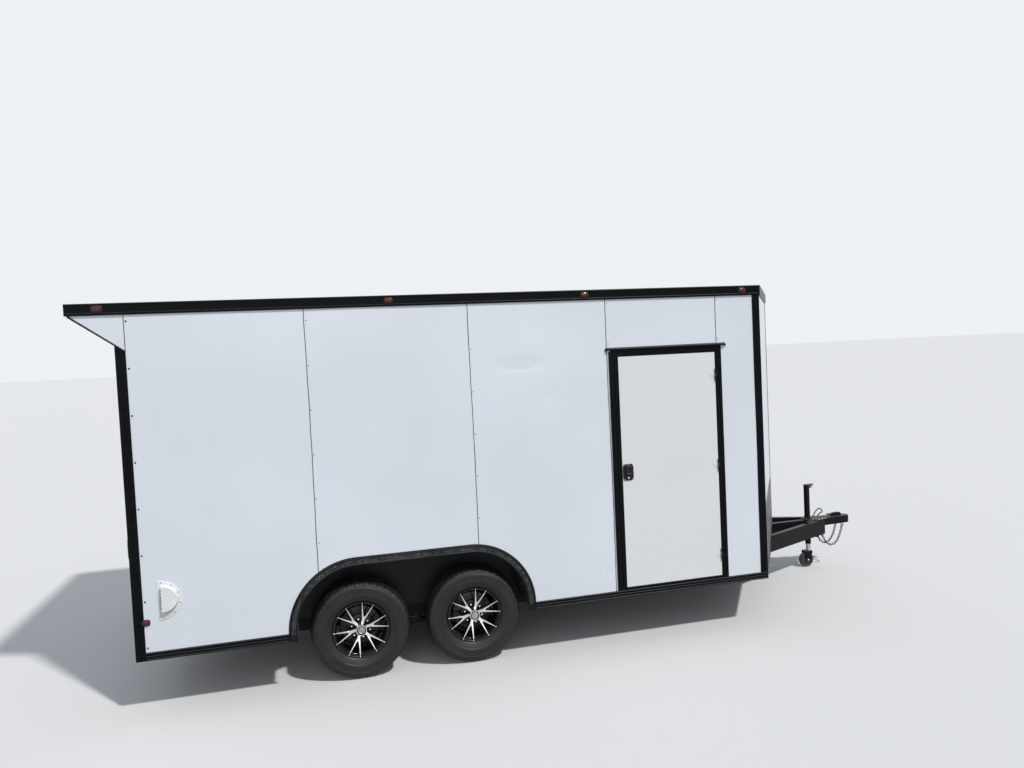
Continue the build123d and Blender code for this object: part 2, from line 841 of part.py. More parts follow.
def coupler():
    """A pressed A-frame coupler: plates over both tubes and a deep nose round the ball."""
    back = along(coupler_back)
    meet = along(tongue_meet) + 2
    ball = along(ball_x)
    end = along(coupler_end)
    wide_back = tube_line(back) + tongue_half
    wide_meet = tube_line(meet) + tongue_half
    top = outline([(back, -wide_back), (meet, -wide_meet), (ball, -coupler_half),
                   (ball, coupler_half), (meet, wide_meet), (back, wide_back)])
    plate = plan_prism(top, frame_top, frame_top + coupler_plate)
    low = frame_top - coupler_drop
    body = outline([(meet, -wide_meet), (ball, -coupler_half), (ball, coupler_half),
                    (meet, wide_meet)])
    nose = plan_prism(body, low, frame_top)
    inner = outline([(meet - 1, -wide_meet + coupler_plate), (ball - 50, -coupler_half + 9),
                     (ball - 50, coupler_half - 9), (meet - 1, wide_meet - coupler_plate)])
    nose = nose - plan_prism(inner, low - 1, frame_top - coupler_plate)
    round_end = Pos(ball, 0, low) * Cylinder(coupler_half, coupler_drop + coupler_plate,
                                             align=(Align.CENTER, Align.CENTER, Align.MIN))
    front = round_end & block(ball, end, -room, room, 0, room)
    body_solid = plate + nose + front
    bore = Pos(ball, 0, low) * Cylinder(ball_bore, ball_bore_depth,
                                        align=(Align.CENTER, Align.CENTER, Align.MIN))
    dome = Pos(ball, 0, low + ball_bore_depth) * Cone(ball_bore, ball_bore / 2, ball_bore * 0.8,
                                                      align=(Align.CENTER, Align.CENTER, Align.MIN))
    body_solid = body_solid - bore - dome
    lever = block(ball - 150, ball - 40, -14, 14, frame_top + coupler_plate,
                  frame_top + coupler_plate + 34)
    lever = chamfer(lever.edges().filter_by(Axis.Y).group_by(Axis.Z)[-1], 16)
    handle = block(ball - 200, ball - 140, -18, 18, frame_top + coupler_plate + 18,
                   frame_top + coupler_plate + 26)
    return body_solid + lever + handle


def jack_housing():
    """The jack's outer tube in its frame plate, with the cap and crank on top."""
    x = along(jack_x)
    height = jack_top - jack_cap - jack_low
    low = Pos(x, 0, jack_low)
    base = (Align.CENTER, Align.CENTER, Align.MIN)
    tube = low * Cylinder(jack_tube, height, align=base)
    tube = tube - low * Cylinder(jack_bore, height, align=base)
    plate_half = tube_line(x + 46) - tongue_half + rail_width * 0.7
    plate = block(x - 46, x + 46, -plate_half, plate_half, frame_top, frame_top + jack_plate)
    plate = plate - low * Cylinder(jack_tube, height, align=base)
    head = Pos(x, 0, jack_low + height) * extrude(RegularPolygon(jack_tube + 4, 16), amount=jack_cap)
    z = jack_low + height - 22
    shaft = bar((x + jack_tube - 1, 0, z), (x + jack_tube + 24, 0, z), 9, 8)
    arm = block(x + jack_tube + 24, x + jack_tube + 32, -9, crank_reach, z - 9, z + 9)
    grip = bar((x + jack_tube + 32, crank_reach - 10, z),
               (x + jack_tube + 32 + 90, crank_reach - 10, z), 12, 8)
    return tube + plate + head + shaft + arm + grip


def jack_ram():
    return Pos(along(jack_x), 0, fork_top + seat_gap) * Cylinder(
        ram_radius, ram_length, align=(Align.CENTER, Align.CENTER, Align.MIN))


def caster_fork():
    x = along(jack_x)
    wheel_x = x - caster_trail
    inner = caster_half + moving_gap
    outer = inner + fork_sheet
    face = outline([(x + ram_radius, fork_top), (wheel_x - 26, fork_top), (wheel_x - 22, caster_radius),
                    (wheel_x - 14, caster_radius - 16), (wheel_x + 14, caster_radius - 16),
                    (wheel_x + 22, caster_radius), (x + ram_radius, fork_top - 20)])
    fork = side_prism(face, -outer, outer) - block(x - 200, x + 200, -inner, inner, 0,
                                                   fork_top - fork_sheet)
    return fork + bar((wheel_x, -outer - 4, caster_radius), (wheel_x, outer + 4, caster_radius),
                      caster_bore - seat_gap, pin_sides)


def caster_wheel():
    """The jack's wheel: a plain tread, dished sides and a bore for its axle."""
    half = caster_half
    side = [(caster_bore, -half), (caster_radius - 11, -half), (caster_radius, -half + 11)]
    wheel = faceted(side + [(r, -z) for r, z in reversed(side)], 2 * pin_sides, True)
    return Pos(along(jack_x) - caster_trail, 0, caster_radius) * Rot(90, 0, 0) * wheel


def axle(x):
    """A drop axle: a straight tube, a raised bracket and a spindle at each end."""
    z = tyre_radius - axle_drop
    bracket_in = well_side + moving_gap
    bracket_out = bracket_in + bracket_depth
    tube = rod((x, -bracket_in - 1, z), (x, bracket_in + 1, z), axle_tube)
    face = Pos(x, (z + tyre_radius) / 2) * oval(2.2 * axle_tube, axle_drop + 2.2 * axle_tube)
    bracket = side_prism(face, -bracket_out, -bracket_in)
    spindle = bar((x, -bracket_out + 1, tyre_radius), (x, -wheel_y + 22, tyre_radius),
                  spindle_radius, pin_sides)
    plate = bar((x, -bracket_out + 1, tyre_radius), (x, -bracket_out - 4, tyre_radius),
                drum_radius - 4, 2 * pin_sides)
    right = bracket + spindle + plate
    return tube + right + left_of(right)


def spring_middle_z():
    """The height of the middle of a spring pack's main leaf, under the axle tube."""
    return tyre_radius - axle_drop - axle_tube - seat_gap


def leaf_spring(x):
    """A pack of arched leaves under the axle, eye to eye, with its clamp plates."""
    y = rail_outer - rail_width / 2
    top = spring_middle_z()
    radius = (spring_half ** 2 + spring_rise ** 2) / (2 * spring_rise)
    pack = None
    for number in range(leaf_count):
        reach = spring_half * (1 - 0.2 * number)
        inner = radius + leaf * number
        outer = inner + leaf
        turn = math.asin(reach / radius)
        points = []
        for r in (inner, outer):
            points.append([(x + r * math.sin(a), top + radius - r * math.cos(a))
                           for a in (-turn, 0, turn)])
        upper, lower = points
        edges = [ThreePointArc(*upper), Line(upper[2], lower[2]),
                 ThreePointArc(lower[2], lower[1], lower[0]), Line(lower[0], upper[0])]
        sheet = side_prism(make_face(Wire(edges)), -y - spring_width / 2, -y + spring_width / 2)
        pack = sheet if pack is None else pack + sheet
    eye_z = top + spring_rise
    for side in (-1, 1):
        eye_x = x + side * spring_half
        pack = pack + bar((eye_x, -y - spring_width / 2, eye_z), (eye_x, -y + spring_width / 2, eye_z),
                          eye_radius, 8)
    return pack


def spring_hangers():
    """Per side: two end hangers, and a middle hanger with its equaliser and shackle straps."""
    y = rail_outer - rail_width / 2
    eye_z = spring_middle_z() + spring_rise
    front = axle_xs["front"]
    back = axle_xs["rear"]
    middle = (front + back) / 2
    solids = []
    half = spring_width / 2
    strap_in = half + joint_gap
    strap_out = strap_in + hanger_sheet
    for x, inner in ((front + spring_half, strap_in), (back - spring_half, strap_in),
                     (middle, strap_out + joint_gap)):
        outer = inner + hanger_sheet
        face = outline([(x - 45, frame_low_z), (x + 45, frame_low_z), (x + 20, eye_z - 18),
                        (x - 20, eye_z - 18)])
        cheeks = side_prism(face, -y - outer, -y + outer)
        cheeks = cheeks - block(x - 100, x + 100, -y - inner, -y + inner, 0,
                                frame_low_z - hanger_sheet)
        solids.append(cheeks)
    middle_hanger = solids.pop()
    reach = (front - back) / 2 - spring_half
    rocker_face = outline([(middle - rocker_reach - eye_radius, eye_z - 6),
                           (middle - rocker_reach, eye_z + eye_radius - 3),
                           (middle, eye_z + eye_radius + 6),
                           (middle + rocker_reach, eye_z + eye_radius - 3),
                           (middle + rocker_reach + eye_radius, eye_z - 6),
                           (middle + rocker_reach, eye_z - eye_radius),
                           (middle - rocker_reach, eye_z - eye_radius)])
    rocker = side_prism(rocker_face, -y - half, -y + half)
    rocker = rocker + bar((middle, -y - outer - bolt_head, eye_z),
                          (middle, -y + outer + bolt_head, eye_z), eye_pin, 6)
    for side in (-1, 1):
        inside = middle + side * rocker_reach
        outside = middle + side * reach
        for turn in (-1, 1):
            y_in = -y + turn * strap_in
            y_out = -y + turn * strap_out
            low = min(inside, outside) - eye_radius
            high = max(inside, outside) + eye_radius
            strap = block(low, high, min(y_in, y_out), max(y_in, y_out), eye_z - eye_radius + 2,
                          eye_z + eye_radius - 2)
            rocker = rocker + chamfer(strap.edges().filter_by(Axis.Y), eye_radius / 2)
        rocker = rocker + bar((inside, -y - strap_out - bolt_head, eye_z),
                              (inside, -y + strap_out + bolt_head, eye_z), eye_pin, 6)
    return both(solids + [middle_hanger + rocker])


def u_bolts():
    """Twin hoops over each axle tube with the plate that clamps its spring under it."""
    solids = []
    y = rail_outer - rail_width / 2
    z = tyre_radius - axle_drop
    low = spring_middle_z() - leaf * leaf_count
    inner = spring_width / 2 + joint_gap
    outer = inner + clamp_bar
    reach = axle_tube + clamp_bar
    for x in axle_xs.values():
        hoop = None
        for half, across in ((reach, outer), (axle_tube + seat_gap, outer + 1)):
            cut = half * (2 - math.sqrt(2))
            face = outline([(x - half, low), (x - half, z + half - cut), (x - half + cut, z + half),
                            (x + half - cut, z + half), (x + half, z + half - cut), (x + half, low)])
            solid = side_prism(face, -y - across, -y + across)
            hoop = solid if hoop is None else hoop - solid
        room = block(x - 2 * reach, x + 2 * reach, -y - inner, -y + inner, low, z + 2 * reach)
        plate = block(x - reach, x + reach, -y - outer, -y + outer, low - clamp_bar, low)
        solids.append(hoop - room + plate)
    return both(solids)


def wheel_place(x, side):
    """The middle of a wheel, turned so that its face points out: side -1 is the right."""
    return Pos(x, side * wheel_y, tyre_radius) * Rot(-90 * side, 0, 0)


def tyre():
    """One tyre, standing on its axis: beads on the rim, bulged sidewalls and a flat tread."""
    seat = rim_seat - 1 - seat_gap
    bead = bead_radius + seat_gap
    side = [(bead, seat), (rim_radius + 1, seat), (bulge_radius, tyre_half),
            (tyre_radius, tread_half)]
    return faceted(side + [(r, -z) for r, z in reversed(side)], wheel_sides, True)


def rim():
    """One alloy wheel: a flanged barrel, a mounting pad and forked spokes with two tips each."""
    body = faceted([(rim_radius, -rim_half), (rim_radius, -rim_seat - 1), (bead_radius, -rim_seat + 1),
                    (bead_radius, rim_seat - 1), (rim_radius, rim_seat + 1), (rim_radius, rim_half),
                    (rim_radius - 7, rim_half), (barrel_radius, taper_start),
                    (barrel_radius, -rim_half)], wheel_sides, True)
    pad = faceted([(pilot_radius + 1, 0), (pad_radius, 0), (pad_radius - 6, pad_depth),
                   (pilot_radius + 1, pad_depth)], wheel_sides // 2, True)
    body = body + pad
    stem = 11.0
    tip = rim_radius - 4
    turn = math.radians(fork_angle)
    across = tip_half * math.cos(turn)
    ahead = tip_half * math.sin(turn)
    tip_x = tip * math.cos(turn)
    tip_y = tip * math.sin(turn)
    upper = [(pilot_radius + 4, stem), (fork_radius, stem + 2), (tip_x - ahead, tip_y + across),
             (tip_x + ahead, tip_y - across), (fork_radius + crotch, 0)]
    plan = outline(upper + [(x, -y) for x, y in reversed(upper[:4])])
    profile = outline([(pilot_radius + 3, pad_depth / 2), (pilot_radius + 3, 56),
                       (tip + 2, rim_half + 3), (tip + 2, rim_seat + 3), (bead_radius - 4, rim_seat + 2),
                       (fork_radius + crotch, 34)])
    spoke = extrude(plan, amount=2 * rim_half) & extrude(Plane.XZ * profile, amount=60, both=True)
    for number in range(spoke_count):
        body = body + Rot(0, 0, spoke_turn + 360 / spoke_count * number) * spoke
    return body


def hub():
    """One hub: the bore for the spindle, the brake drum, and the pilot with its cap."""
    bore = spindle_radius + seat_gap
    return faceted([(bore, -20), (bore, -drum_depth), (drum_radius, -drum_depth), (drum_radius, -14),
                    (pad_radius, -0.5), (pilot_radius, -0.5), (pilot_radius, pad_depth + 20),
                    (cap_radius - 5, cap_height)], wheel_sides // 2, False)


def chain_pins(start, end, count, pitch):
    """The pins of a hanging chain of count links: a catenary between two places in X and Z."""
    span = end[0] - start[0]
    rise = end[1] - start[1]
    length = count * pitch
    low = span / 50
    high = span * 50
    for _ in range(60):
        scale = (low + high) / 2
        if 2 * scale * math.sinh(span / 2 / scale) > math.sqrt(length ** 2 - rise ** 2):
            low = scale
        else:
            high = scale
    lowest = span / 2 - scale * math.atanh(rise / length)
    first = scale * math.sinh(-lowest / scale)
    drop = scale * math.cosh(-lowest / scale)
    pins = []
    for number in range(count + 1):
        x = scale * math.asinh((first + pitch * number) / scale)
        pins.append((start[0] + lowest + x, start[1] + scale * math.cosh(x / scale) - drop))
    return pins


def chain_link(start, end, y, turn):
    """One link between two pins, turned about its own length by turn degrees."""
    outer = chamfer(Rectangle(link_length + 2 * chain_wire, link_width + 2 * chain_wire).vertices(),
                    link_width * 0.7)
    inner = chamfer(Rectangle(link_length, link_width).vertices(), link_width * 0.3)
    link = extrude(outer - inner, amount=chain_wire / 2, both=True)
    lean = math.degrees(math.atan2(end[1] - start[1], end[0] - start[0]))
    middle = Pos((start[0] + end[0]) / 2, y, (start[1] + end[1]) / 2)
    return middle * Rot(0, -lean, 0) * Rot(turn, 0, 0) * link


def safety_chains():
    """Two chains, each looped under the tongue from its eye to a second eye by the coupler."""
    rear_x = along(tongue_meet - chain_rear)
    front_x = along(ball_x - chain_front)
    tops = [frame_low_z, frame_top - coupler_drop]
    ends = [(rear_x, tops[0] - eye_height + 4), (front_x, tops[1] - eye_height + 4)]
    pins = chain_pins(ends[0], ends[1], link_count, link_length + link_bite)
    chain = None
    for number in range(link_count):
        link = chain_link(pins[number], pins[number + 1], -chain_y, 90 * (number % 2))
        chain = link if chain is None else chain + link
    for (x, z), top in zip(ends, tops):
        chain = chain + block(x - 14, x + 14, -chain_y - 4, -chain_y + 4, z - 4, top)
    return both([chain])


def cable_route():
    """The points that the plug cable follows: out of its gland, over the tongue and down."""
    start = along(tongue_meet)
    level = frame_top + cable_rise
    return [(start + ahead, -aside, level + rise) for ahead, aside, rise in cable_turns]


def cable_radii(points):
    """The largest arc for each corner: 0.45 of its shorter run over the tangent of half its turn."""
    radii = []
    for a, b, c in zip(points, points[1:], points[2:]):
        first = Vector(*b) - Vector(*a)
        second = Vector(*c) - Vector(*b)
        turn = math.radians(first.get_angle(second))
        radii.append(0.45 * min(first.length, second.length) / math.tan(turn / 2))
    return radii


def plug_cable():
    points = cable_route()
    radii = cable_radii(points)
    print("plug cable radii", [round(radius) for radius in radii])
    path = FilletPolyline(*points, radius=radii)
    print("plug cable length", round(path.length))
    start = Plane(origin=path @ 0, z_dir=path % 0)
    same_area = cable_radius * math.sqrt(math.pi / (2 * math.sqrt(2)))
    return sweep(start * RegularPolygon(same_area, 8), path=path)


def cable_gland():
    """The block on the right tongue tube that the plug cable comes out of."""
    x, y, z = cable_route()[0]
    half = 2 * cable_radius
    body = block(-4 * cable_radius, -seat_gap, -half, half, frame_top - z, half)
    body = chamfer(body.faces().sort_by(Axis.Z)[-1].edges(), cable_radius / 2)
    return Pos(x, y, z) * Rot(0, 0, tongue_angle) * body


def plug():
    """The plug at the cable's end, hanging mouth down, with its collar and hinged cover."""
    x, y, z = cable_route()[-1]
    neck = cable_radius + 3
    body = faceted([(neck, 0), (neck + 3, -28), (plug_radius - 4, -34), (plug_radius, -40),
                    (plug_radius, -plug_length + 12), (plug_radius + 3, -plug_length + 12),
                    (plug_radius + 3, -plug_length)], pin_sides, False)
    key = block(-5, 5, plug_radius - 1, plug_radius + 4, -plug_length + 14, -44)
    return Pos(x, y, z) * (body + key)


def on_wheel(shapes, x, side):
    return [wheel_place(x, side) * shape for shape in shapes]


def make_nodes():
    """Every node of the trailer with its solids, by name."""
    nodes = {
        "main_rails": main_rails(), "tongue_tubes": tongue_tubes(),
        "crossmembers": crossmembers(), "floor_deck": floor_deck(),
        "wheel_wells": wheel_wells(), "arch_flares": arch_flares(),
        "nose_walls": nose_walls().solids(), "stone_guard": stone_guard().solids(),
        "roof": [roof()], "top_trim": top_trim().solids(), "bottom_trim": bottom_trim(),
        "corner_posts": corner_posts(), "rear_frame": rear_frame(), "spoiler": [spoiler()],
        "door_frame": door_frame(), "door_leaf": [door_leaf()], "door_latch": [door_latch()],
        "ramp_door": [ramp_door()], "ramp_flap": [ramp_flap()], "cam_locks": cam_locks(),
        "cam_keepers": cam_keepers(), "amber_lamps": amber_lamps(), "red_lamps": red_lamps(),
        "loading_lamps": loading_lamps(), "side_vents": side_vents(), "coupler": [coupler()],
        "jack_housing": [jack_housing()], "jack_ram": [jack_ram()],
        "caster_fork": [caster_fork()], "caster_wheel": [caster_wheel()],
        "axles": [axle(x) for x in axle_xs.values()],
        "leaf_springs": both([leaf_spring(x) for x in axle_xs.values()]),
        "spring_hangers": spring_hangers(), "axle_clamps": u_bolts(),
        "safety_chains": safety_chains(), "plug_cable": [plug_cable()], "plug": [plug()],
    }
    ends = seams[1:] + [box_length]
    for number, (start, end) in enumerate(zip(seams, ends), start=1):
        door = start < door_rear < end
        nodes[f"panel_right_{number}"] = [wall_panel(start, end, door)]
        nodes[f"panel_left_{number}"] = [left_of(wall_panel(start, end, False))]
    one_tyre = [tyre()]
    one_rim = [rim()]
    one_hub = [hub()]
    for end, x in axle_xs.items():
        for side, name in ((-1, "right"), (1, "left")):
            nodes[f"tyre_{name}_{end}"] = on_wheel(one_tyre, x, side)
            nodes[f"rim_{name}_{end}"] = on_wheel(one_rim, x, side)
            nodes[f"hub_{name}_{end}"] = on_wheel(one_hub, x, side)
    return nodes


os.makedirs("parts", exist_ok=True)
for node, solids in make_nodes().items():
    solids = list(solids)
    shape = solids[0] if len(solids) == 1 else Compound(children=solids)
    shape.label = node
    export_step(shape, "parts/" + node + ".step")
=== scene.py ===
import math
import bmesh
import bpy
import numpy as np
from mathutils import Euler, Matrix, Vector


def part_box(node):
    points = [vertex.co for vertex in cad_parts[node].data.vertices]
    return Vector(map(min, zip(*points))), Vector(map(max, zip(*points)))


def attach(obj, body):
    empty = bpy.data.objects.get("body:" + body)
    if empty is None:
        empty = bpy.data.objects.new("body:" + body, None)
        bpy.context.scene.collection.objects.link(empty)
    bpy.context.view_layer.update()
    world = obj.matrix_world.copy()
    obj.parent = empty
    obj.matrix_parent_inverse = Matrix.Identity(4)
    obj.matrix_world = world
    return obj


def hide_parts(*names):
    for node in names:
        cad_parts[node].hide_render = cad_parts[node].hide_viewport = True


bl_info = {
    "name": "Enclosed car trailer finish",
    "version": (1, 0, 0),
    "blender": (4, 5, 0),
    "location": "3D View > Sidebar > Trailer",
    "description": "Skins, trims, wheels, lamps and finishes of an enclosed car trailer",
    "category": "Object",
}

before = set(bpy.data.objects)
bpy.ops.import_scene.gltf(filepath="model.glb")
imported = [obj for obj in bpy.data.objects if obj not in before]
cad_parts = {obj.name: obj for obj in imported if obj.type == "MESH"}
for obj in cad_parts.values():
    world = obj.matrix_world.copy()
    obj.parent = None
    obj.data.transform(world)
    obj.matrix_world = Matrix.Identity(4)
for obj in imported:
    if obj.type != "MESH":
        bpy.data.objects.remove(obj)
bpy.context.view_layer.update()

# Places taken from the frame, in metres
PANEL_LOW, PANEL_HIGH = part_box("panel_right_1")
REAR_SEAM = PANEL_LOW.x
SKIN = -PANEL_LOW.y
SKIN_LOW = PANEL_LOW.z
SKIN_HIGH = PANEL_HIGH.z
BOX_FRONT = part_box("panel_left_5")[1].x
NOSE_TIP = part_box("nose_walls")[1].x
TRIM_LOW, TRIM_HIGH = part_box("top_trim")
ROOF_TOP = TRIM_HIGH.z
TRIM_FACE = -TRIM_LOW.y
TAIL = TRIM_LOW.x
RAIL_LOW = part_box("bottom_trim")[0].z
DOOR_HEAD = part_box("door_frame")[1].z
WELL_SHEET = 0.003
WELL_LOW, WELL_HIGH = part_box("wheel_wells")
ARCH_BACK = WELL_LOW.x + WELL_SHEET
ARCH_FRONT = WELL_HIGH.x - WELL_SHEET
ARCH_TOP = WELL_HIGH.z - WELL_SHEET
ARCH_MIDDLE = (ARCH_BACK + ARCH_FRONT) / 2
ARCH_HALF = (ARCH_FRONT - ARCH_BACK) / 2
TYRE_LOW, TYRE_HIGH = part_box("tyre_right_front")
TYRE_RADIUS = TYRE_HIGH.z / 2
TYRE_HALF = (TYRE_HIGH.y - TYRE_LOW.y) / 2
WHEEL_Y = -(TYRE_HIGH.y + TYRE_LOW.y) / 2
ENDS = ("front", "rear")
SIDES = (("right", -1), ("left", 1))
PANELS = range(1, 6)
NOSE_SLOPE = (NOSE_TIP - BOX_FRONT) / SKIN

# Places that no box of the frame shows, in metres: the lining's face, the wheel well's back, the
# radius of the arch's corners, the width of its trim, the door's edges and how far the skin stands out
WALL_IN = 1.2355
WELL_IN = 0.961
ARCH_CORNER = 0.44
FLARE = 0.06
DOOR_REAR, DOOR_FRONT = 3.542, 4.393
SKIN_PROUD = 0.0016

# The number of the panel over the side door, the tint of the door's paint and the bevels
DOOR_PANEL = 4
DOOR_TINT = (1.04, 1.01, 0.965)
BEVEL_STEPS = 2
BEVEL_ANGLE = 40.0

# The camera, solved from the photograph, and the light
CAMERA_PLACE = (-1.891, -6.967, 2.380)
CAMERA_TURN = (87.588, 2.722, -14.396)
CAMERA_LENS = 27.07
CAMERA_SENSOR = 36.0
CAMERA_REACH = 1000.0
WARM, COOL = (1.0, 0.975, 0.94), (0.94, 0.97, 1.0)
SUNS = (("key_light", 2.85, 3.0, WARM, (-0.36, 0.50, -0.79)),
        ("near_fill", 0.62, 60.0, COOL, (0.15, 0.97, -0.15)),
        ("far_fill", 0.5, 60.0, COOL, (0.45, -0.85, -0.25)))
FLOOR_REACH = 300.0
FLOOR_LIT, FLOOR_SEEN = (0.22, 0.22, 0.215), (0.60, 0.605, 0.61)
WORLD_LIT, WORLD_SEEN = (0.47, 0.50, 0.55), (0.86, 0.88, 0.90)
OTHER_RAYS = ("Is Glossy Ray", "Is Transmission Ray")

# Radius and height of the round heads, in metres
SKIN_SCREW = (0.0042, 0.0018)
REAR_SCREW = (0.0068, 0.0030)
POST_RIVET = (0.0048, 0.0024)
RAIL_RIVET = (0.0036, 0.0016)
GUARD_RIVET = (0.0045, 0.002)
VENT_SCREW = (0.0042, 0.002)
LATCH_SCREW = (0.0032, 0.0015)
PLATE_BOLT = (0.008, 0.005)
AXLE_END = (0.010, 0.006)


def place(distance):
    """A place along the body, in metres ahead of its rear seam, in the shared frame."""
    return REAR_SEAM + distance


# Settings that a user may change

def tint(name, note, default):
    return bpy.props.FloatVectorProperty(name=name, description=note, subtype="COLOR", size=3,
                                         default=default)


def length(name, note, default, least):
    return bpy.props.FloatProperty(name=name, description=note, default=default, min=least,
                                   unit="LENGTH")


class TrailerColours(bpy.types.PropertyGroup):
    skin: tint("Skin", "Paint of the side sheets", (0.665, 0.705, 0.765))
    trim: tint("Trim", "Powder coat of the trims and frames", (0.0028, 0.0033, 0.0046))
    rubber: tint("Rubber", "Dusty tyre rubber", (0.0130, 0.0134, 0.0143))
    wood: tint("Wood", "Plywood of the floor and lining", (0.46, 0.31, 0.175))


class TrailerSizes(bpy.types.PropertyGroup):
    screw_pitch: length("Screw pitch", "Distance between the screws of a skin seam", 0.32, 0.1)
    rivet_pitch: length("Rivet pitch", "Distance between the rivets of a trim", 0.185, 0.05)
    tread_pitch: length("Tread plate pitch", "Distance between the marks of tread plate", 0.030, 0.015)
    oil_canning: length("Waviness", "How far a skin sheet stands in and out of its plane", 0.0011, 0.0)
    spoke_turn: bpy.props.FloatProperty(name="Spoke turn", description="Turn of the spoke pattern",
                                        default=math.radians(13.0), subtype="ANGLE")


# Shapes as arrays of points and faces

def quads(rows, columns, wrap_rows=False, wrap_columns=False):
    """Faces of a grid of points: each joins a point to its neighbours along the row and the column."""
    i = np.arange(rows if wrap_rows else rows - 1)
    j = np.arange(columns if wrap_columns else columns - 1)
    a, b = np.meshgrid(i, j, indexing="ij")
    a, b = a.ravel(), b.ravel()
    c = (a + 1) % rows
    d = (b + 1) % columns
    return np.stack([a * columns + b, c * columns + b, c * columns + d, a * columns + d], 1)


def surface(grid, wrap_rows=False, wrap_columns=False):
    """A sheet through a grid of points of shape (rows, columns, 3)."""
    rows, columns = grid.shape[:2]
    return grid.reshape(-1, 3), [quads(rows, columns, wrap_rows, wrap_columns)]


def capped(rings):
    """A closed skin over rings of points of shape (rings, sides, 3), its two ends closed by fans."""
    count, sides = rings.shape[:2]
    points = np.vstack([rings.reshape(-1, 3), rings[0].mean(0), rings[-1].mean(0)])
    a = np.arange(sides)
    b = (a + 1) % sides
    last = (count - 1) * sides
    near = np.stack([b, a, np.full(sides, count * sides)], 1)
    far = np.stack([last + a, last + b, np.full(sides, count * sides + 1)], 1)
    return points, [quads(count, sides, False, True), near, far]


def slab(outer, inner):
    """A closed plate between two grids of the same shape, joined round their four edges."""
    rows, columns = outer.shape[:2]
    points = np.vstack([outer.reshape(-1, 3), inner.reshape(-1, 3)])
    face = quads(rows, columns)
    index = np.arange(rows * columns).reshape(rows, columns)
    rim = np.concatenate([index[0, :], index[1:, -1], index[-1, -2::-1], index[-2:0:-1, 0]])
    after = np.roll(rim, -1)
    shift = rows * columns
    edge = np.stack([rim, after, after + shift, rim + shift], 1)
    return points, [face, face[:, ::-1] + shift, edge]


def turned(profile, sides):
    """A turned form: each (radius, height) of the profile carried round the Z axis, ends closed."""
    profile = np.array(profile, float)
    turn = np.linspace(0, 2 * np.pi, sides, endpoint=False)
    radius = np.maximum(profile[:, 0], 1e-5)[:, None]
    rings = np.stack([radius * np.cos(turn), radius * np.sin(turn),
                      np.repeat(profile[:, 1][:, None], sides, 1)], 2)
    return capped(rings)


def ring_form(profile, sides):
    """A turned ring: a closed outline of (radius, height) carried round the Z axis."""
    profile = np.array(profile, float)
    turn = np.linspace(0, 2 * np.pi, sides, endpoint=False)
    grid = np.stack([profile[:, 0][:, None] * np.cos(turn), profile[:, 0][:, None] * np.sin(turn),
                     np.repeat(profile[:, 1][:, None], sides, 1)], 2)
    return surface(grid, True, True)


def smooth_line(points, steps, closed=False):
    """A Catmull-Rom curve through points: each span blends its four nearest points by cubics."""
    p = np.array(points, float)
    if closed:
        p = np.vstack([p[-1], p, p[0], p[1]])
    else:
        p = np.vstack([2 * p[0] - p[1], p, 2 * p[-1] - p[-2]])
    t = np.linspace(0, 1, steps, endpoint=False)[None, :, None]
    a, b, c, d = p[:-3, None], p[1:-2, None], p[2:-1, None], p[3:, None]
    curve = 0.5 * (2 * b + (c - a) * t + (2 * a - 5 * b + 4 * c - d) * t ** 2
                   + (3 * b - a - 3 * c + d) * t ** 3)
    curve = curve.reshape(-1, p.shape[1])
    return curve if closed else np.vstack([curve, points[-1]])


def frames_along(path, closed=False):
    """Tangent, side and up at each point of a path, the side kept level where it can be."""
    path = np.array(path, float)
    if closed:
        tangent = np.roll(path, -1, 0) - np.roll(path, 1, 0)
    else:
        tangent = np.gradient(path, axis=0)
    tangent /= np.linalg.norm(tangent, axis=1)[:, None]
    flat = np.abs(tangent[:, 2]).max() < 0.95
    guide = np.array([0.0, 0.0, 1.0]) if flat else np.array([0.0, 1.0, 0.0])
    side = np.cross(tangent, guide)
    side /= np.linalg.norm(side, axis=1)[:, None]
    return tangent, side, np.cross(side, tangent)


def swept(path, section, closed=False):
    """A section of (side, up) offsets carried along a path, closed by fans or round on itself."""
    path = np.array(path, float)
    section = np.array(section, float)
    _, side, up = frames_along(path, closed)
    rings = path[:, None] + section[None, :, :1] * side[:, None] + section[None, :, 1:] * up[:, None]
    return surface(rings, True, True) if closed else capped(rings)


def circle(radius, sides):
    """Offsets round a circle."""
    turn = np.linspace(0, 2 * np.pi, sides, endpoint=False)
    return np.stack([radius * np.cos(turn), radius * np.sin(turn)], 1)


def box_form(low, high):
    """A square-cornered box between two corners."""
    low, high = np.array(low, float), np.array(high, float)
    corner = np.array([[x, y, z] for z in (0, 1) for x, y in ((0, 0), (1, 0), (1, 1), (0, 1))], float)
    faces = np.array([[3, 2, 1, 0], [4, 5, 6, 7], [0, 1, 5, 4], [1, 2, 6, 5], [2, 3, 7, 6],
                      [3, 0, 4, 7]])
    return low + corner * (high - low), [faces]


def placed(shape, matrix):
    """A shape moved and turned by a 4 by 4 matrix."""
    points, faces = shape
    matrix = np.array(matrix, float)
    return points @ matrix[:3, :3].T + matrix[:3, 3], faces


def scattered(shape, places, turns):
    """Copies of a shape, each turned by its 3 by 3 matrix and moved to its place, as one."""
    points, faces = shape
    places = np.array(places, float).reshape(-1, 3)
    turns = np.broadcast_to(np.array(turns, float), (len(places), 3, 3))
    copies = np.einsum("nij,pj->npi", turns, points) + places[:, None]
    shift = (np.arange(len(places)) * len(points))[:, None, None]
    return copies.reshape(-1, 3), [(f[None] + shift).reshape(-1, f.shape[1]) for f in faces]


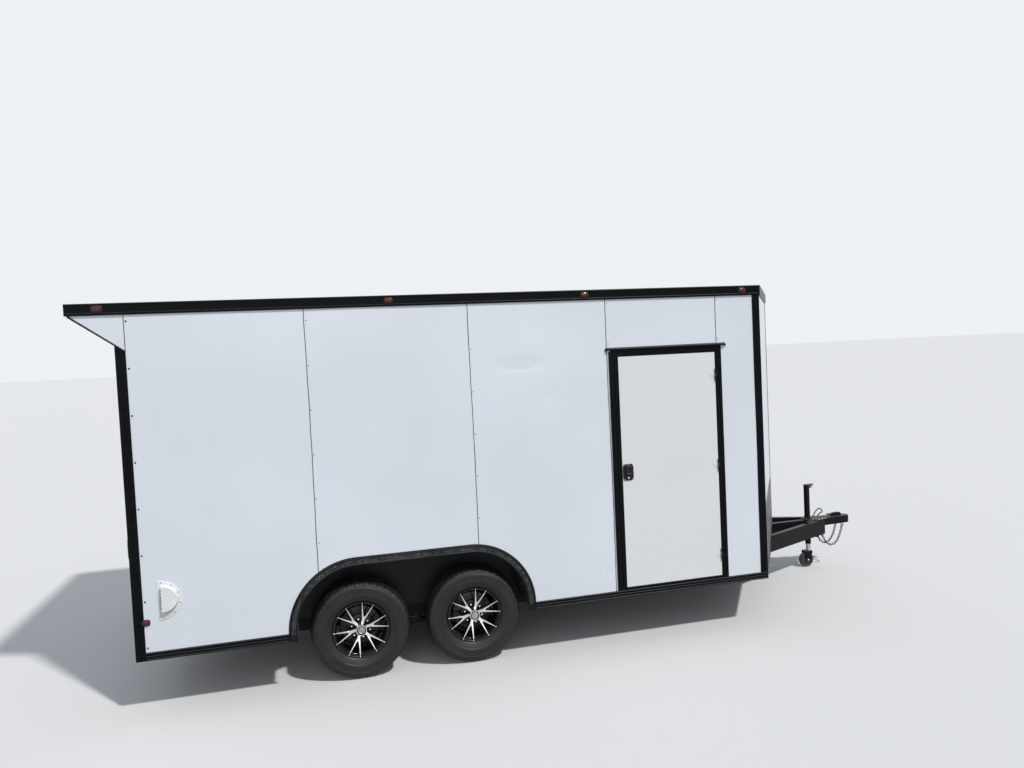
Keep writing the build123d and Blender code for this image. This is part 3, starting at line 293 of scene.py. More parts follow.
def joined(*shapes):
    """Several shapes as one list of points with their faces shifted to match."""
    points, faces, shift = [], [], 0
    for part, part_faces in shapes:
        points.append(part)
        faces += [f + shift for f in part_faces]
        shift += len(part)
    return np.vstack(points), faces


def rib(start, end, out, radius):
    """A half-round bar on a surface: a half circle, standing out one way, carried along a line."""
    start, end, out = np.array(start, float), np.array(end, float), np.array(out, float)
    along = (end - start) / np.linalg.norm(end - start)
    wide = np.cross(out, along)
    turn = np.linspace(0, np.pi, 9)[:, None]
    arc = wide * np.cos(turn) * radius + out * np.sin(turn) * radius
    section = np.vstack([wide * radius - out * 0.0006, arc, -wide * radius - out * 0.0006])
    return capped(np.stack([start + section, end + section]))


def mirrored(shape):
    """The same shape on the trailer's other side."""
    points, faces = shape
    return points * np.array([1, -1, 1]), [f[:, ::-1] for f in faces]


def both_sides(shape):
    """A shape and its mirror image as one."""
    return joined(shape, mirrored(shape))


def basis(x_axis, y_axis, z_axis):
    """A turn whose columns are three axes."""
    return np.stack([np.array(x_axis, float), np.array(y_axis, float), np.array(z_axis, float)], 1)


FACE_OUT = {-1: basis((1, 0, 0), (0, 0, 1), (0, -1, 0)), 1: basis((-1, 0, 0), (0, 0, 1), (0, 1, 0))}


def stand(spot, face=((1, 0, 0), (0, 1, 0), (0, 0, 1))):
    """Where a form stands: its place and the turn of its axes, as a 4 by 4 matrix."""
    matrix = np.eye(4)
    matrix[:3, :3] = face
    matrix[:3, 3] = spot
    return matrix


def wheel_matrix(tag, side):
    """Where a wheel stands: its axis points out and its first axis runs along the trailer."""
    low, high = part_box(f"tyre_{tag}")
    return stand(((low.x + high.x) / 2, side * WHEEL_Y, (low.z + high.z) / 2), FACE_OUT[side])


def squarish(sides, power):
    """X and Y round a superellipse of half size 1, which is the squarer the lower its power."""
    turn = np.linspace(0, 2 * np.pi, sides, endpoint=False)
    return [np.sign(wave) * np.abs(wave) ** power for wave in (np.cos(turn), np.sin(turn))]


def midway(low, high):
    """The middle between two values."""
    return (low + high) / 2


def piece(name, shape, look, body="trailer", replaces=(), crease=35.0, bevel=0.0):
    """A mesh object from a shape, with its finish, body and the nodes it stands for."""
    points, faces = shape
    mesh = bpy.data.meshes.new(name)
    mesh.vertices.add(len(points))
    mesh.vertices.foreach_set("co", np.ascontiguousarray(points, np.float32).ravel())
    loops = np.concatenate([f.ravel() for f in faces]).astype(np.int32)
    sizes = np.concatenate([np.full(len(f), f.shape[1]) for f in faces])
    starts = np.concatenate([[0], np.cumsum(sizes)[:-1]]).astype(np.int32)
    mesh.loops.add(len(loops))
    mesh.loops.foreach_set("vertex_index", loops)
    mesh.polygons.add(len(sizes))
    mesh.polygons.foreach_set("loop_start", starts)
    mesh.update(calc_edges=True)
    mesh.validate()
    outward(mesh)
    mesh.polygons.foreach_set("use_smooth", np.ones(len(mesh.polygons), bool))
    mesh.set_sharp_from_angle(angle=math.radians(crease))
    mesh.materials.append(finish(look))
    thing = bpy.data.objects.new(name, mesh)
    bpy.context.scene.collection.objects.link(thing)
    if bevel:
        edge = thing.modifiers.new("edges", "BEVEL")
        edge.width = bevel
        edge.segments = BEVEL_STEPS
        edge.limit_method = "ANGLE"
        edge.angle_limit = math.radians(BEVEL_ANGLE)
        edge.harden_normals = False
    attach(thing, body)
    if replaces:
        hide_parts(*replaces)
    return thing


def outward(mesh):
    """Turns every closed shell of a new mesh so that its faces point out."""
    work = bmesh.new()
    work.from_mesh(mesh)
    bmesh.ops.recalc_face_normals(work, faces=work.faces)
    work.to_mesh(mesh)
    work.free()
    mesh.update()


# Shader maths as expressions

class Value:
    """A socket: arithmetic on it adds Math nodes to its tree."""

    def __init__(self, tree, socket):
        self.tree = tree
        self.socket = socket

    def math(self, operation, *others):
        return self.tree.node("ShaderNodeMath", {"operation": operation},
                              dict(enumerate((self,) + others)))

    def reflected(self, operation, other):
        return self.tree.node("ShaderNodeMath", {"operation": operation}, {0: other, 1: self})

    def __add__(self, other):
        return self.math("ADD", other)

    def __radd__(self, other):
        return self.reflected("ADD", other)

    def __sub__(self, other):
        return self.math("SUBTRACT", other)

    def __rsub__(self, other):
        return self.reflected("SUBTRACT", other)

    def __mul__(self, other):
        return self.math("MULTIPLY", other)

    def __truediv__(self, other):
        return self.math("DIVIDE", other)

    def __gt__(self, other):
        return self.math("GREATER_THAN", other)

    def __lt__(self, other):
        return self.math("LESS_THAN", other)

    def __abs__(self):
        return self.math("ABSOLUTE")

    def between(self, low, high):
        """0 below low, 1 above high and a smooth rise between them."""
        return self.tree.node("ShaderNodeMapRange", {"interpolation_type": "SMOOTHSTEP"},
                              {"Value": self, "From Min": low, "From Max": high})


class Finish:
    """A material's node tree, with its shader and the patterns that its surface needs."""

    def __init__(self, name, colour, roughness, metallic=0.0, coat=0.0, coat_roughness=0.1,
                 specular=0.5):
        self.material = bpy.data.materials.new(name)
        self.material.use_nodes = True
        self.nodes = self.material.node_tree.nodes
        self.links = self.material.node_tree.links
        self.shader = self.nodes["Principled BSDF"]
        self.material.diffuse_color = (*colour, 1)
        self.shader.inputs["Base Color"].default_value = (*colour, 1)
        self.shader.inputs["Roughness"].default_value = roughness
        self.shader.inputs["Metallic"].default_value = metallic
        self.shader.inputs["Coat Weight"].default_value = coat
        self.shader.inputs["Coat Roughness"].default_value = coat_roughness
        self.shader.inputs["Specular IOR Level"].default_value = specular
        self.here = self.node("ShaderNodeTexCoord", {}, {}, "Object")

    def node(self, kind, settings, values, output=0):
        """Adds a node: settings first, then the values or links of its sockets."""
        new = self.nodes.new(kind)
        for key, setting in settings.items():
            setattr(new, key, setting)
        for key, value in values.items():
            if isinstance(value, Value):
                self.links.new(value.socket, new.inputs[key])
            elif isinstance(value, tuple) and len(value) == 3 and new.inputs[key].type == "RGBA":
                new.inputs[key].default_value = (*value, 1)
            else:
                new.inputs[key].default_value = value
        return Value(self, new.outputs[output])

    def axis(self, name):
        return self.node("ShaderNodeSeparateXYZ", {}, {0: self.here}, name)

    def facing(self, name):
        """One part of the surface's own direction, from the mesh itself."""
        normal = self.node("ShaderNodeNewGeometry", {}, {}, "Normal")
        return self.node("ShaderNodeSeparateXYZ", {}, {0: normal}, name)

    def cloud(self, scale, detail=4.0, stretch=(1.0, 1.0, 1.0), roughness=0.55):
        """Soft noise of about 1 / scale metres, stretched along the axes."""
        where = self.node("ShaderNodeMapping", {}, {"Vector": self.here, "Scale": stretch})
        return self.node("ShaderNodeTexNoise", {}, {"Vector": where, "Scale": scale, "Detail": detail,
                                                    "Roughness": roughness})

    def mix(self, factor, first, second):
        """Colours blended by a factor: the first at 0 and the second at 1."""
        return self.node("ShaderNodeMix", {"data_type": "RGBA"}, {0: factor, 6: first, 7: second}, 2)

    def faded(self, factor, colour, first, second):
        """One colour between two strengths of itself, by a factor."""
        return self.mix(factor, shade(colour, first), shade(colour, second))

    def plywood(self, wood, stretch, dark, pale):
        """A plywood face: its grain, stretched along the sheet, and its colour."""
        grain = self.cloud(5.0, 6.0, stretch, 0.65)
        return grain, self.faded(grain.between(0.35, 0.7), wood, dark, pale)

    def bump(self, height, distance, strength=1.0, under=None):
        values = {"Height": height, "Distance": distance, "Strength": strength}
        if under is not None:
            values["Normal"] = under
        return self.node("ShaderNodeBump", {}, values)

    def set(self, **values):
        for key, value in values.items():
            self.links.new(value.socket, self.shader.inputs[key.replace("_", " ")])
        return self.material


def user_colour(name):
    """One of the colours that a user may change."""
    return tuple(getattr(bpy.context.scene.trailer_colours, name))


def user_size(name):
    """One of the sizes that a user may change."""
    return getattr(bpy.context.scene.trailer_sizes, name)


def shade(colour, amount):
    """A colour made darker or lighter by a factor."""
    return tuple(min(1.0, part * amount) for part in colour)


made = {}


def finish(name):
    """The finish of that name, made once."""
    if name not in made:
        made[name] = FINISHES[name]()
    return made[name]


# Colours of dust, film, wear and rust over the paints, and of the painted highlights on what faces up on
# the ribs and the tread plate
SILL_DUST, RAIN_RUNS, ROOF_FILM = (0.47, 0.455, 0.42), (0.40, 0.41, 0.42), (0.50, 0.51, 0.52)
RAMP_DUST, DOOR_DUST, HINGE_BLACK = (0.43, 0.42, 0.39), (0.5, 0.485, 0.45), (0.006, 0.006, 0.008)
TRIM_DUST, RIB_PAINTED_HIGHLIGHT = (0.075, 0.078, 0.087), (0.060, 0.062, 0.068)
TREAD_DUST, TREAD_PAINTED_HIGHLIGHT = (0.026, 0.027, 0.030), (0.11, 0.114, 0.122)
MARK_DARK, MARK_BRIGHT = (0.016, 0.017, 0.020), (0.30, 0.305, 0.32)
CHASSIS_DARK, CHASSIS_PALE = (0.0045, 0.0050, 0.0062), (0.0095, 0.0100, 0.0118)
CHASSIS_DUST, CHASSIS_RUST = (0.078, 0.079, 0.083), (0.060, 0.026, 0.013)
LACQUER, BRAKE_DUST = (0.0030, 0.0030, 0.0036), (0.018, 0.017, 0.0155)
ALLOY_BRIGHT, ALLOY_HAZE = (0.80, 0.775, 0.745), (0.50, 0.475, 0.45)
CAP_BRIGHT, CAP_STAIN = (0.46, 0.44, 0.42), (0.20, 0.19, 0.18)
CHROME_BRIGHT, CHROME_SPECK = (0.93, 0.93, 0.93), (0.4, 0.38, 0.35)
ZINC_DARK, ZINC_PALE, ZINC_RUST = (0.36, 0.37, 0.39), (0.62, 0.63, 0.64), (0.20, 0.09, 0.04)
FLOOR_TRACK, FLOOR_SEAM = (0.30, 0.26, 0.21), (0.05, 0.04, 0.03)
FLAP_DARK, FLAP_PALE = (0.24, 0.245, 0.25), (0.36, 0.365, 0.37)


def painted_skin():
    """White sheet paint: slow waves, fine dust towards the sill and faint runs under the trim."""
    paint = user_colour("skin")
    f = Finish("painted_skin", paint, 0.3, coat=0.35, coat_roughness=0.12)
    height = f.axis("Z")
    wide = f.cloud(0.9, 2.0)
    fine = f.cloud(9.0, 5.0, (1.0, 1.0, 0.35))
    runs = f.cloud(26.0, 3.0, (1.0, 1.0, 0.05))
    splash = 1 - height.between(SKIN_LOW, SKIN_LOW + 0.42)
    upright = 1 - abs(f.facing("Z")).between(0.4, 0.8)
    run_mask = height.between(SKIN_HIGH - 0.5, SKIN_HIGH) * runs.between(0.56, 0.74)
    dust = splash * fine.between(0.2, 0.9)
    base = f.faded(wide.between(0.35, 0.68), paint, 0.975, 1.025)
    base = f.mix(dust * 0.12, base, SILL_DUST)
    base = f.mix(run_mask * upright * 0.04, base, RAIN_RUNS)
    rough = 0.24 + dust * 0.1 + fine * 0.03
    peel = f.cloud(160.0, 2.0)
    first = f.bump(wide, 0.010, 0.35)
    return f.set(Base_Color=base, Roughness=rough, Normal=f.bump(peel, 0.0004, 0.25, first))


def roof_skin():
    """The roof's sheet: the same paint gone dull, with slow waves and a film of dust."""
    paint = user_colour("skin")
    f = Finish("roof_skin", paint, 0.6, specular=0.25)
    wide = f.cloud(0.8, 3.0)
    film = f.cloud(2.6, 6.0, (0.5, 1.0, 1.0)).between(0.3, 0.8)
    base = f.mix(film * 0.3, paint, ROOF_FILM)
    return f.set(Base_Color=base, Roughness=0.55 + film * 0.2, Normal=f.bump(wide, 0.010, 0.35))


def lined_wall():
    """The painted wall outside, and plywood lining on the faces that look inwards."""
    paint = user_colour("skin")
    wood = user_colour("wood")
    f = Finish("lined_wall", paint, 0.4)
    x, y, z = f.axis("X"), f.axis("Y"), f.axis("Z")
    across = abs(y)
    ahead = (x - BOX_FRONT) / NOSE_SLOPE
    reach = across + ahead.math("MAXIMUM", 0.0)
    inside = 1 - (reach > WALL_IN + 0.004)
    grain, ply = f.plywood(wood, (6.0, 6.0, 0.45), 0.74, 1.12)
    flame = f.cloud(1.6, 3.0, (2.0, 2.0, 0.3))
    ply = f.mix(flame.between(0.5, 0.75) * 0.4, ply, shade(wood, 0.62))
    wide = f.cloud(0.9, 2.0)
    base = f.faded(wide, paint, 0.95, 1.02)
    base = f.mix(inside, base, ply)
    height = inside * grain * 0.5 + wide
    return f.set(Base_Color=base, Roughness=0.3 + inside * 0.35, Normal=f.bump(height, 0.002, 0.4))


def ramp_skin():
    """The ramp: white outside, with plywood on its inner face."""
    paint = user_colour("skin")
    wood = user_colour("wood")
    f = Finish("ramp_skin", paint, 0.32, coat=0.25)
    x = f.axis("X")
    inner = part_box("ramp_door")[1].x - 0.002
    inside = x > inner
    grain, ply = f.plywood(wood, (6.0, 0.5, 6.0), 0.66, 1.0)
    wide = f.cloud(1.1, 3.0)
    dust = (1 - f.axis("Z").between(0.45, 1.1)) * f.cloud(12.0, 4.0).between(0.2, 0.9)
    base = f.faded(wide, paint, 0.95, 1.02)
    base = f.mix(dust * 0.25, base, RAMP_DUST)
    base = f.mix(inside, base, ply)
    return f.set(Base_Color=base, Roughness=0.28 + inside * 0.4, Coat_Weight=0.25 - inside * 0.25,
                 Normal=f.bump(wide + inside * grain * 0.5, 0.002, 0.4))


def door_skin():
    """The door's sheet, a little warmer and duller than the walls beside it."""
    paint = tuple(part * tint for part, tint in zip(user_colour("skin"), DOOR_TINT))
    f = Finish("door_skin", paint, 0.38)
    wide = f.cloud(1.2, 3.0)
    fine = f.cloud(14.0, 4.0)
    low = 1 - f.axis("Z").between(0.46, 1.3)
    base = f.faded(wide, paint, 0.95, 1.02)
    base = f.mix(low * fine.between(0.4, 0.7) * 0.1, base, DOOR_DUST)
    knuckle = (f.axis("Y") < -SKIN - 0.0095) * (f.axis("X") > 1.2)
    base = f.mix(knuckle, base, HINGE_BLACK)
    return f.set(Base_Color=base, Roughness=0.34 + fine * 0.12, Normal=f.bump(wide, 0.006, 0.35))


def black_trim():
    """Black powder coat: a fine texture, patchy tone and dust on what faces up."""
    coat = user_colour("trim")
    f = Finish("black_trim", coat, 0.4, specular=0.06)
    fine = f.cloud(420.0, 2.0)
    patch = f.cloud(4.0, 5.0, (0.4, 1.0, 1.0))
    up = f.facing("Z").between(0.25, 0.95)
    dust = up * 0.7 + patch.between(0.5, 0.8) * 0.03
    base = f.faded(patch, coat, 0.8, 1.6)
    base = f.mix(dust, base, TRIM_DUST)
    return f.set(Base_Color=base, Roughness=0.26 + dust * 0.35 + patch * 0.1,
                 Normal=f.bump(fine, 0.0003, 0.25))


def worn_ribs():
    """The pressed ribs of the trims: black, with a painted highlight, a lighter grey, on the crest that
    faces up.
    """
    coat = user_colour("trim")
    f = Finish("worn_ribs", coat, 0.3, specular=0.16)
    up = f.facing("Z").between(0.15, 0.8)
    patch = f.cloud(6.0, 5.0, (0.3, 1.0, 1.0))
    # Painted highlight: what faces up is mixed towards a lighter grey, as where light catches the crest
    base = f.mix(up * (0.45 + patch * 0.4), shade(coat, 1.3), RIB_PAINTED_HIGHLIGHT)
    return f.set(Base_Color=base, Roughness=0.26 + patch * 0.1)


def tread_black():
    """Black painted tread plate: road dust between the marks, and a painted highlight, greyer, on what
    faces up.
    """
    coat = user_colour("trim")
    f = Finish("tread_black", coat, 0.4, specular=0.18)
    patch = f.cloud(3.2, 6.0)
    grit = f.cloud(70.0, 3.0)
    up = f.facing("Z").between(0.1, 0.9)
    dust = patch.between(0.35, 0.75) * 0.5 + grit.between(0.5, 0.75) * 0.25
    base = f.mix(dust, shade(coat, 1.2), TREAD_DUST)
    # Painted highlight: what faces up is mixed towards grey, as where light falls on the tops of the
    # beads
    base = f.mix(up * (0.35 + patch * 0.3), base, TREAD_PAINTED_HIGHLIGHT)
    return f.set(Base_Color=base, Roughness=0.3 + dust * 0.35, Normal=f.bump(grit, 0.0008, 0.4))


def tread_marks():
    """The raised marks themselves, rubbed to a soft shine."""
    f = Finish("tread_marks", (0.05, 0.052, 0.057), 0.25, specular=0.9)
    wear = f.cloud(24.0, 5.0)
    base = f.mix(wear.between(0.38, 0.7), MARK_DARK, MARK_BRIGHT)
    return f.set(Base_Color=base, Roughness=0.18 + wear * 0.25)


def chassis_black():
    """Brushed-on chassis black: dull, dusty, with rust starting in small patches."""
    f = Finish("chassis_black", (0.006, 0.0065, 0.0080), 0.5, specular=0.10)
    patch = f.cloud(5.0, 6.0)
    grit = f.cloud(60.0, 4.0)
    up = f.facing("Z").between(0.3, 0.95)
    rust = f.cloud(11.0, 8.0, roughness=0.7).between(0.66, 0.74)
    base = f.mix(patch, CHASSIS_DARK, CHASSIS_PALE)
    base = f.mix(up * 0.7 + grit.between(0.55, 0.8) * 0.06, base, CHASSIS_DUST)
    base = f.mix(rust * 0.4, base, CHASSIS_RUST)
    return f.set(Base_Color=base, Roughness=0.32 + patch * 0.25 + rust * 0.2,
                 Normal=f.bump(grit + patch * 2, 0.0008, 0.4))


def tyre_rubber():
    """Tyre rubber with road dust: paler towards the tread, with fine moulded lines."""
    rubber = user_colour("rubber")
    f = Finish("tyre_rubber", rubber, 0.5, specular=0.34)
    patch = f.cloud(7.0, 5.0)
    grit = f.cloud(130.0, 4.0)
    low = 1 - f.axis("Z").between(0.0, 0.2)
    dust = patch.between(0.3, 0.75) * 0.55 + grit.between(0.45, 0.7) * 0.25 + low * 0.2
    base = f.faded(dust, rubber, 0.6, 1.7)
    return f.set(Base_Color=base, Roughness=0.34 + grit * 0.2 + patch * 0.1,
                 Normal=f.bump(grit, 0.0006, 0.5))


def gloss_black():
    """The wheels' black lacquer under a thin coat of brake dust."""
    f = Finish("gloss_black", (0.0035, 0.0035, 0.0042), 0.25, coat=0.3, specular=0.25)
    dust = f.cloud(16.0, 5.0).between(0.4, 0.75)
    base = f.mix(dust * 0.5, LACQUER, BRAKE_DUST)
    return f.set(Base_Color=base, Roughness=0.2 + dust * 0.4, Coat_Weight=0.3 - dust * 0.25)


def polished_alloy():
    """Machined and polished spoke faces with fine tool lines."""
    f = Finish("polished_alloy", (0.86, 0.86, 0.85), 0.2, metallic=1.0)
    lines = f.cloud(900.0, 2.0)
    haze = f.cloud(20.0, 4.0)
    base = f.mix(haze.between(0.35, 0.8) * 0.5, ALLOY_BRIGHT, ALLOY_HAZE)
    return f.set(Base_Color=base, Roughness=0.16 + haze * 0.18, Normal=f.bump(lines, 0.0001, 0.15))


def brushed_cap():
    """The hub cap's turned face."""
    f = Finish("brushed_cap", (0.42, 0.40, 0.385), 0.32, metallic=1.0)
    lines = f.cloud(500.0, 2.0, (1.0, 0.2, 1.0))
    stain = f.cloud(34.0, 5.0)
    base = f.mix(stain.between(0.4, 0.75) * 0.6, CAP_BRIGHT, CAP_STAIN)
    return f.set(Base_Color=base, Roughness=0.28 + stain * 0.2, Normal=f.bump(lines, 0.0001, 0.2))


def chrome():
    """Bright plating of the nuts, with specks of dust."""
    f = Finish("chrome", (0.92, 0.92, 0.92), 0.08, metallic=1.0)
    specks = f.cloud(200.0, 3.0).between(0.6, 0.75)
    return f.set(Base_Color=f.mix(specks * 0.5, CHROME_BRIGHT, CHROME_SPECK),
                 Roughness=0.07 + specks * 0.4)


def zinc_plate():
    """Zinc plating: cool grey with pale bloom and a little rust."""
    f = Finish("zinc_plate", (0.50, 0.51, 0.52), 0.4, metallic=0.85)
    bloom = f.cloud(30.0, 5.0)
    rust = f.cloud(14.0, 7.0).between(0.68, 0.76)
    base = f.mix(bloom, ZINC_DARK, ZINC_PALE)
    base = f.mix(rust * 0.6, base, ZINC_RUST)
    return f.set(Base_Color=base, Roughness=0.3 + bloom * 0.25 + rust * 0.3,
                 Metallic=0.9 - rust * 0.6)


def floor_wood():
    """The deck: plywood sheets laid across, with worn tracks and seams every four feet."""
    wood = user_colour("wood")
    f = Finish("floor_wood", wood, 0.7)
    x = f.axis("X")
    grain = f.cloud(4.0, 7.0, (7.0, 0.5, 7.0), 0.68)
    knots = f.cloud(3.0, 3.0, (2.0, 0.6, 2.0))
    seam = (x * (1 / 1.22)).math("FRACT").between(0.0, 0.004)
    wear = f.cloud(0.8, 4.0)
    base = f.faded(grain.between(0.32, 0.72), wood, 0.55, 0.95)
    base = f.mix(knots.between(0.62, 0.8) * 0.5, base, shade(wood, 0.4))
    base = f.mix(wear.between(0.45, 0.8) * 0.35, base, FLOOR_TRACK)
    base = f.mix((1 - seam) * 0.8, base, FLOOR_SEAM)
    return f.set(Base_Color=base, Roughness=0.62 + grain * 0.2,
                 Normal=f.bump(grain * 0.6 + seam, 0.0015, 0.4))


def lens(name, colour, deep):
    """Moulded lens plastic: fine upright flutes and a darker core."""
    f = Finish(name, colour, 0.12, coat=0.12, coat_roughness=0.06, specular=0.35)
    flute = (f.axis("X") * 900.0).math("SINE") + (f.axis("Y") * 900.0).math("SINE")
    core = f.cloud(60.0, 2.0)
    base = f.mix(core.between(0.3, 0.7), deep, colour)
    return f.set(Base_Color=base, Normal=f.bump(flute, 0.0002, 0.2))


def moulded(name, colour, roughness, scale, specular=0.5):
    """Moulded plastic or rubber with a fine grain and slight fading."""
    f = Finish(name, colour, roughness, specular=specular)
    grain = f.cloud(scale, 3.0)
    fade = f.cloud(10.0, 4.0)
    base = f.faded(fade, colour, 0.82, 1.2)
    return f.set(Base_Color=base, Roughness=roughness - 0.08 + fade * 0.16,
                 Normal=f.bump(grain, 0.0003, 0.4))


def moulded_metal(name, colour, roughness):
    """Dull plated steel: darker grime in soft patches and brighter rubbed places."""
    f = Finish(name, colour, roughness, metallic=0.8)
    grime = f.cloud(45.0, 4.0)
    base = f.faded(grime.between(0.35, 0.7), colour, 0.45, 1.5)
    return f.set(Base_Color=base, Roughness=roughness - 0.1 + grime * 0.25)


def bright_tread():
    """Bare tread plate of the ramp's flap, with raised marks in two directions."""
    f = Finish("bright_tread", (0.30, 0.305, 0.31), 0.6, metallic=0.55, specular=0.3)
    a = ((f.axis("Y") + f.axis("Z")) * 150.0).math("SINE")
    b = ((f.axis("Y") - f.axis("Z")) * 150.0).math("SINE")
    mark = (a * b).between(0.45, 0.8)
    dust = f.cloud(14.0, 5.0)
    base = f.mix(dust, FLAP_DARK, FLAP_PALE)
    return f.set(Base_Color=base, Roughness=0.55 + dust * 0.2, Normal=f.bump(mark, 0.0012, 0.7))


FINISHES = {
    "roof_skin": roof_skin, "painted_skin": painted_skin, "lined_wall": lined_wall,
    "ramp_skin": ramp_skin, "door_skin": door_skin, "black_trim": black_trim, "tread_black": tread_black,
    "tread_marks": tread_marks, "chassis_black": chassis_black, "tyre_rubber": tyre_rubber,
    "gloss_black": gloss_black, "polished_alloy": polished_alloy, "brushed_cap": brushed_cap,
    "chrome": chrome, "zinc_plate": zinc_plate, "floor_wood": floor_wood,
    "bright_tread": bright_tread, "rib": worn_ribs,
    "amber": lambda: lens("amber_plastic", (0.110, 0.017, 0.005), (0.035, 0.006, 0.002)),
    "red": lambda: lens("red_plastic", (0.095, 0.003, 0.007), (0.025, 0.001, 0.002)),
    "clear": lambda: lens("clear_plastic", (0.80, 0.83, 0.86), (0.52, 0.55, 0.58)),
    "gasket": lambda: moulded("gasket_rubber", (0.008, 0.008, 0.009), 0.6, 200.0),
    "sealant": lambda: moulded("seam_sealant", (0.040, 0.043, 0.050), 0.6, 120.0),
    "chain": lambda: moulded_metal("chain_steel", (0.13, 0.13, 0.135), 0.42),
    "screw": lambda: moulded_metal("screw_heads", (0.055, 0.056, 0.060), 0.35),
    "latch": lambda: moulded("latch_plastic", (0.0028, 0.0028, 0.0035), 0.22, 260.0, 0.3),
    "vent": lambda: moulded("vent_plastic", (0.69, 0.705, 0.72), 0.42, 300.0, 0.3),
    "cable": lambda: moulded("cable_rubber_jacket", (0.020, 0.020, 0.022), 0.42, 90.0),
    "plug": lambda: moulded("plug_body", (0.022, 0.022, 0.024), 0.4, 150.0),
    "caster": lambda: moulded("caster_tread", (0.035, 0.034, 0.033), 0.6, 120.0),
}

NODE_FINISHES = {
    "chassis_black": ("main_rails", "tongue_tubes", "crossmembers", "axles", "leaf_springs",
                      "spring_hangers", "axle_clamps", "coupler", "caster_fork"),
    "black_trim": ("top_trim", "bottom_trim", "corner_posts", "rear_frame", "door_frame"),
    "tread_black": ("wheel_wells", "stone_guard"),
    "floor_wood": ("floor_deck",), "lined_wall": ("nose_walls",),
    "painted_skin": ("spoiler",), "roof_skin": ("roof",), "door_skin": ("door_leaf",),
    "ramp_skin": ("ramp_door",),
    "zinc_plate": ("cam_locks", "cam_keepers", "jack_ram"), "bright_tread": ("ramp_flap",),
    "latch": ("door_latch",),
}


# Paths and patterns that several pieces share

def arch_line(steps):
    """The edge of a wheel arch in X and Z, from the rear foot over the top to the front foot, with
    its outward direction: straight legs and top joined by quarter circles."""
    turn = np.linspace(0, np.pi / 2, steps)
    left = ARCH_BACK + ARCH_CORNER
    right = ARCH_FRONT - ARCH_CORNER
    centre = ARCH_TOP - ARCH_CORNER
    rear = np.stack([left - ARCH_CORNER * np.cos(turn), centre + ARCH_CORNER * np.sin(turn)], 1)
    front = np.stack([right + ARCH_CORNER * np.sin(turn), centre + ARCH_CORNER * np.cos(turn)], 1)
    rear_out = np.stack([-np.cos(turn), np.sin(turn)], 1)
    front_out = np.stack([np.sin(turn), np.cos(turn)], 1)
    top = np.linspace(left, right, steps)[1:-1]
    top_line = np.stack([top, np.full(len(top), ARCH_TOP)], 1)
    top_out = np.tile([0.0, 1.0], (len(top), 1))
    foot = RAIL_LOW
    line = np.vstack([[ARCH_BACK, foot], rear, top_line, front, [ARCH_FRONT, foot]])
    out = np.vstack([[-1.0, 0.0], rear_out, top_out, front_out, [1.0, 0.0]])
    return line, out


def arch_height(x, offset):
    """The height of a line that runs outside the wheel arch by an offset: its top between the
    corners, a circle round each corner's centre past them, and 0 beyond the line's ends."""
    past = np.clip(np.abs(x - ARCH_MIDDLE) - (ARCH_HALF - ARCH_CORNER), 0, None)
    reach = ARCH_CORNER + offset
    rise = np.sqrt(np.clip(reach ** 2 - past ** 2, 0, None))
    return np.where(past < reach, ARCH_TOP - ARCH_CORNER + rise, 0.0)


def even_arch(pitch, start, stop):
    """Places at an even pitch along the arch's edge, with direction along it and outward."""
    line, out = arch_line(60)
    length = np.concatenate([[0], np.cumsum(np.linalg.norm(np.diff(line, axis=0), axis=1))])
    where = np.arange(start, length[-1] - stop, pitch)
    place_x = np.interp(where, length, line[:, 0])
    place_z = np.interp(where, length, line[:, 1])
    out_x = np.interp(where, length, out[:, 0])
    out_z = np.interp(where, length, out[:, 1])
    size = np.hypot(out_x, out_z)
    return np.stack([place_x, place_z], 1), np.stack([out_x, out_z], 1) / size[:, None]


# Length, width and height of the marks of the plate and of the arch trims
PLATE_MARK = (0.026, 0.009, 0.0014)
BAND_MARK = (0.0135, 0.0052, 0.0015)


def lozenge(length, width, height):
    """One raised mark of tread plate: a long diamond with a ridge, closed underneath."""
    a, b, r = length / 2, width / 2, length / 4
    points = np.array([[-a, 0, 0], [0, -b, 0], [a, 0, 0], [0, b, 0], [-r, 0, height], [r, 0, height]])
    sides = np.array([[0, 1, 4], [1, 2, 5], [1, 5, 4], [2, 3, 5], [3, 0, 4], [3, 4, 5]])
    return points, [sides, np.array([[0, 3, 2, 1]])]


def tread_pattern(places, along, across, out, diagonal, mark=PLATE_MARK):
    """Marks turned an eighth to each side by turns, on a surface with the given directions."""
    spin = np.where(diagonal, np.pi / 4, -np.pi / 4)[:, None]
    x_axis = along * np.cos(spin) + across * np.sin(spin)
    y_axis = across * np.cos(spin) - along * np.sin(spin)
    return scattered(lozenge(*mark), places, np.stack([x_axis, y_axis, out], 2))


def chequered(rows, columns):
    """Row and column of each mark of a grid, and whether it leans to the first side."""
    i, j = np.meshgrid(np.arange(rows), np.arange(columns), indexing="ij")
    i, j = i.ravel(), j.ravel()
    return i, j, (i + j) % 2 == 0


def dome(radius, height, sides=10):
    """A low round head: a quarter circle turned about its axis, closed underneath."""
    turn = np.linspace(0, np.pi / 2, 4)
    profile = np.stack([radius * np.cos(turn), height * np.sin(turn)], 1)
    return turned(np.vstack([[radius * 0.98, -0.0006], profile]), sides)


def heads(places, out, size):
    """Round heads on a surface, all facing one way, of a radius and height."""
    out = np.array(out, float)
    guide = np.array([0.0, 0.0, 1.0]) if abs(out[2]) < 0.9 else np.array([1.0, 0.0, 0.0])
    x_axis = np.cross(guide, out)
    x_axis /= np.linalg.norm(x_axis)
    return scattered(dome(*size), places, basis(x_axis, np.cross(out, x_axis), out))


# The dents of the skin: X, Z, half width, half height and share of the deepest
DENTS = ((-0.36, 2.28, 0.17, 0.045, 1.0), (-0.14, 2.03, 0.05, 0.05, 0.6))
DENT_DEPTH = 0.0038


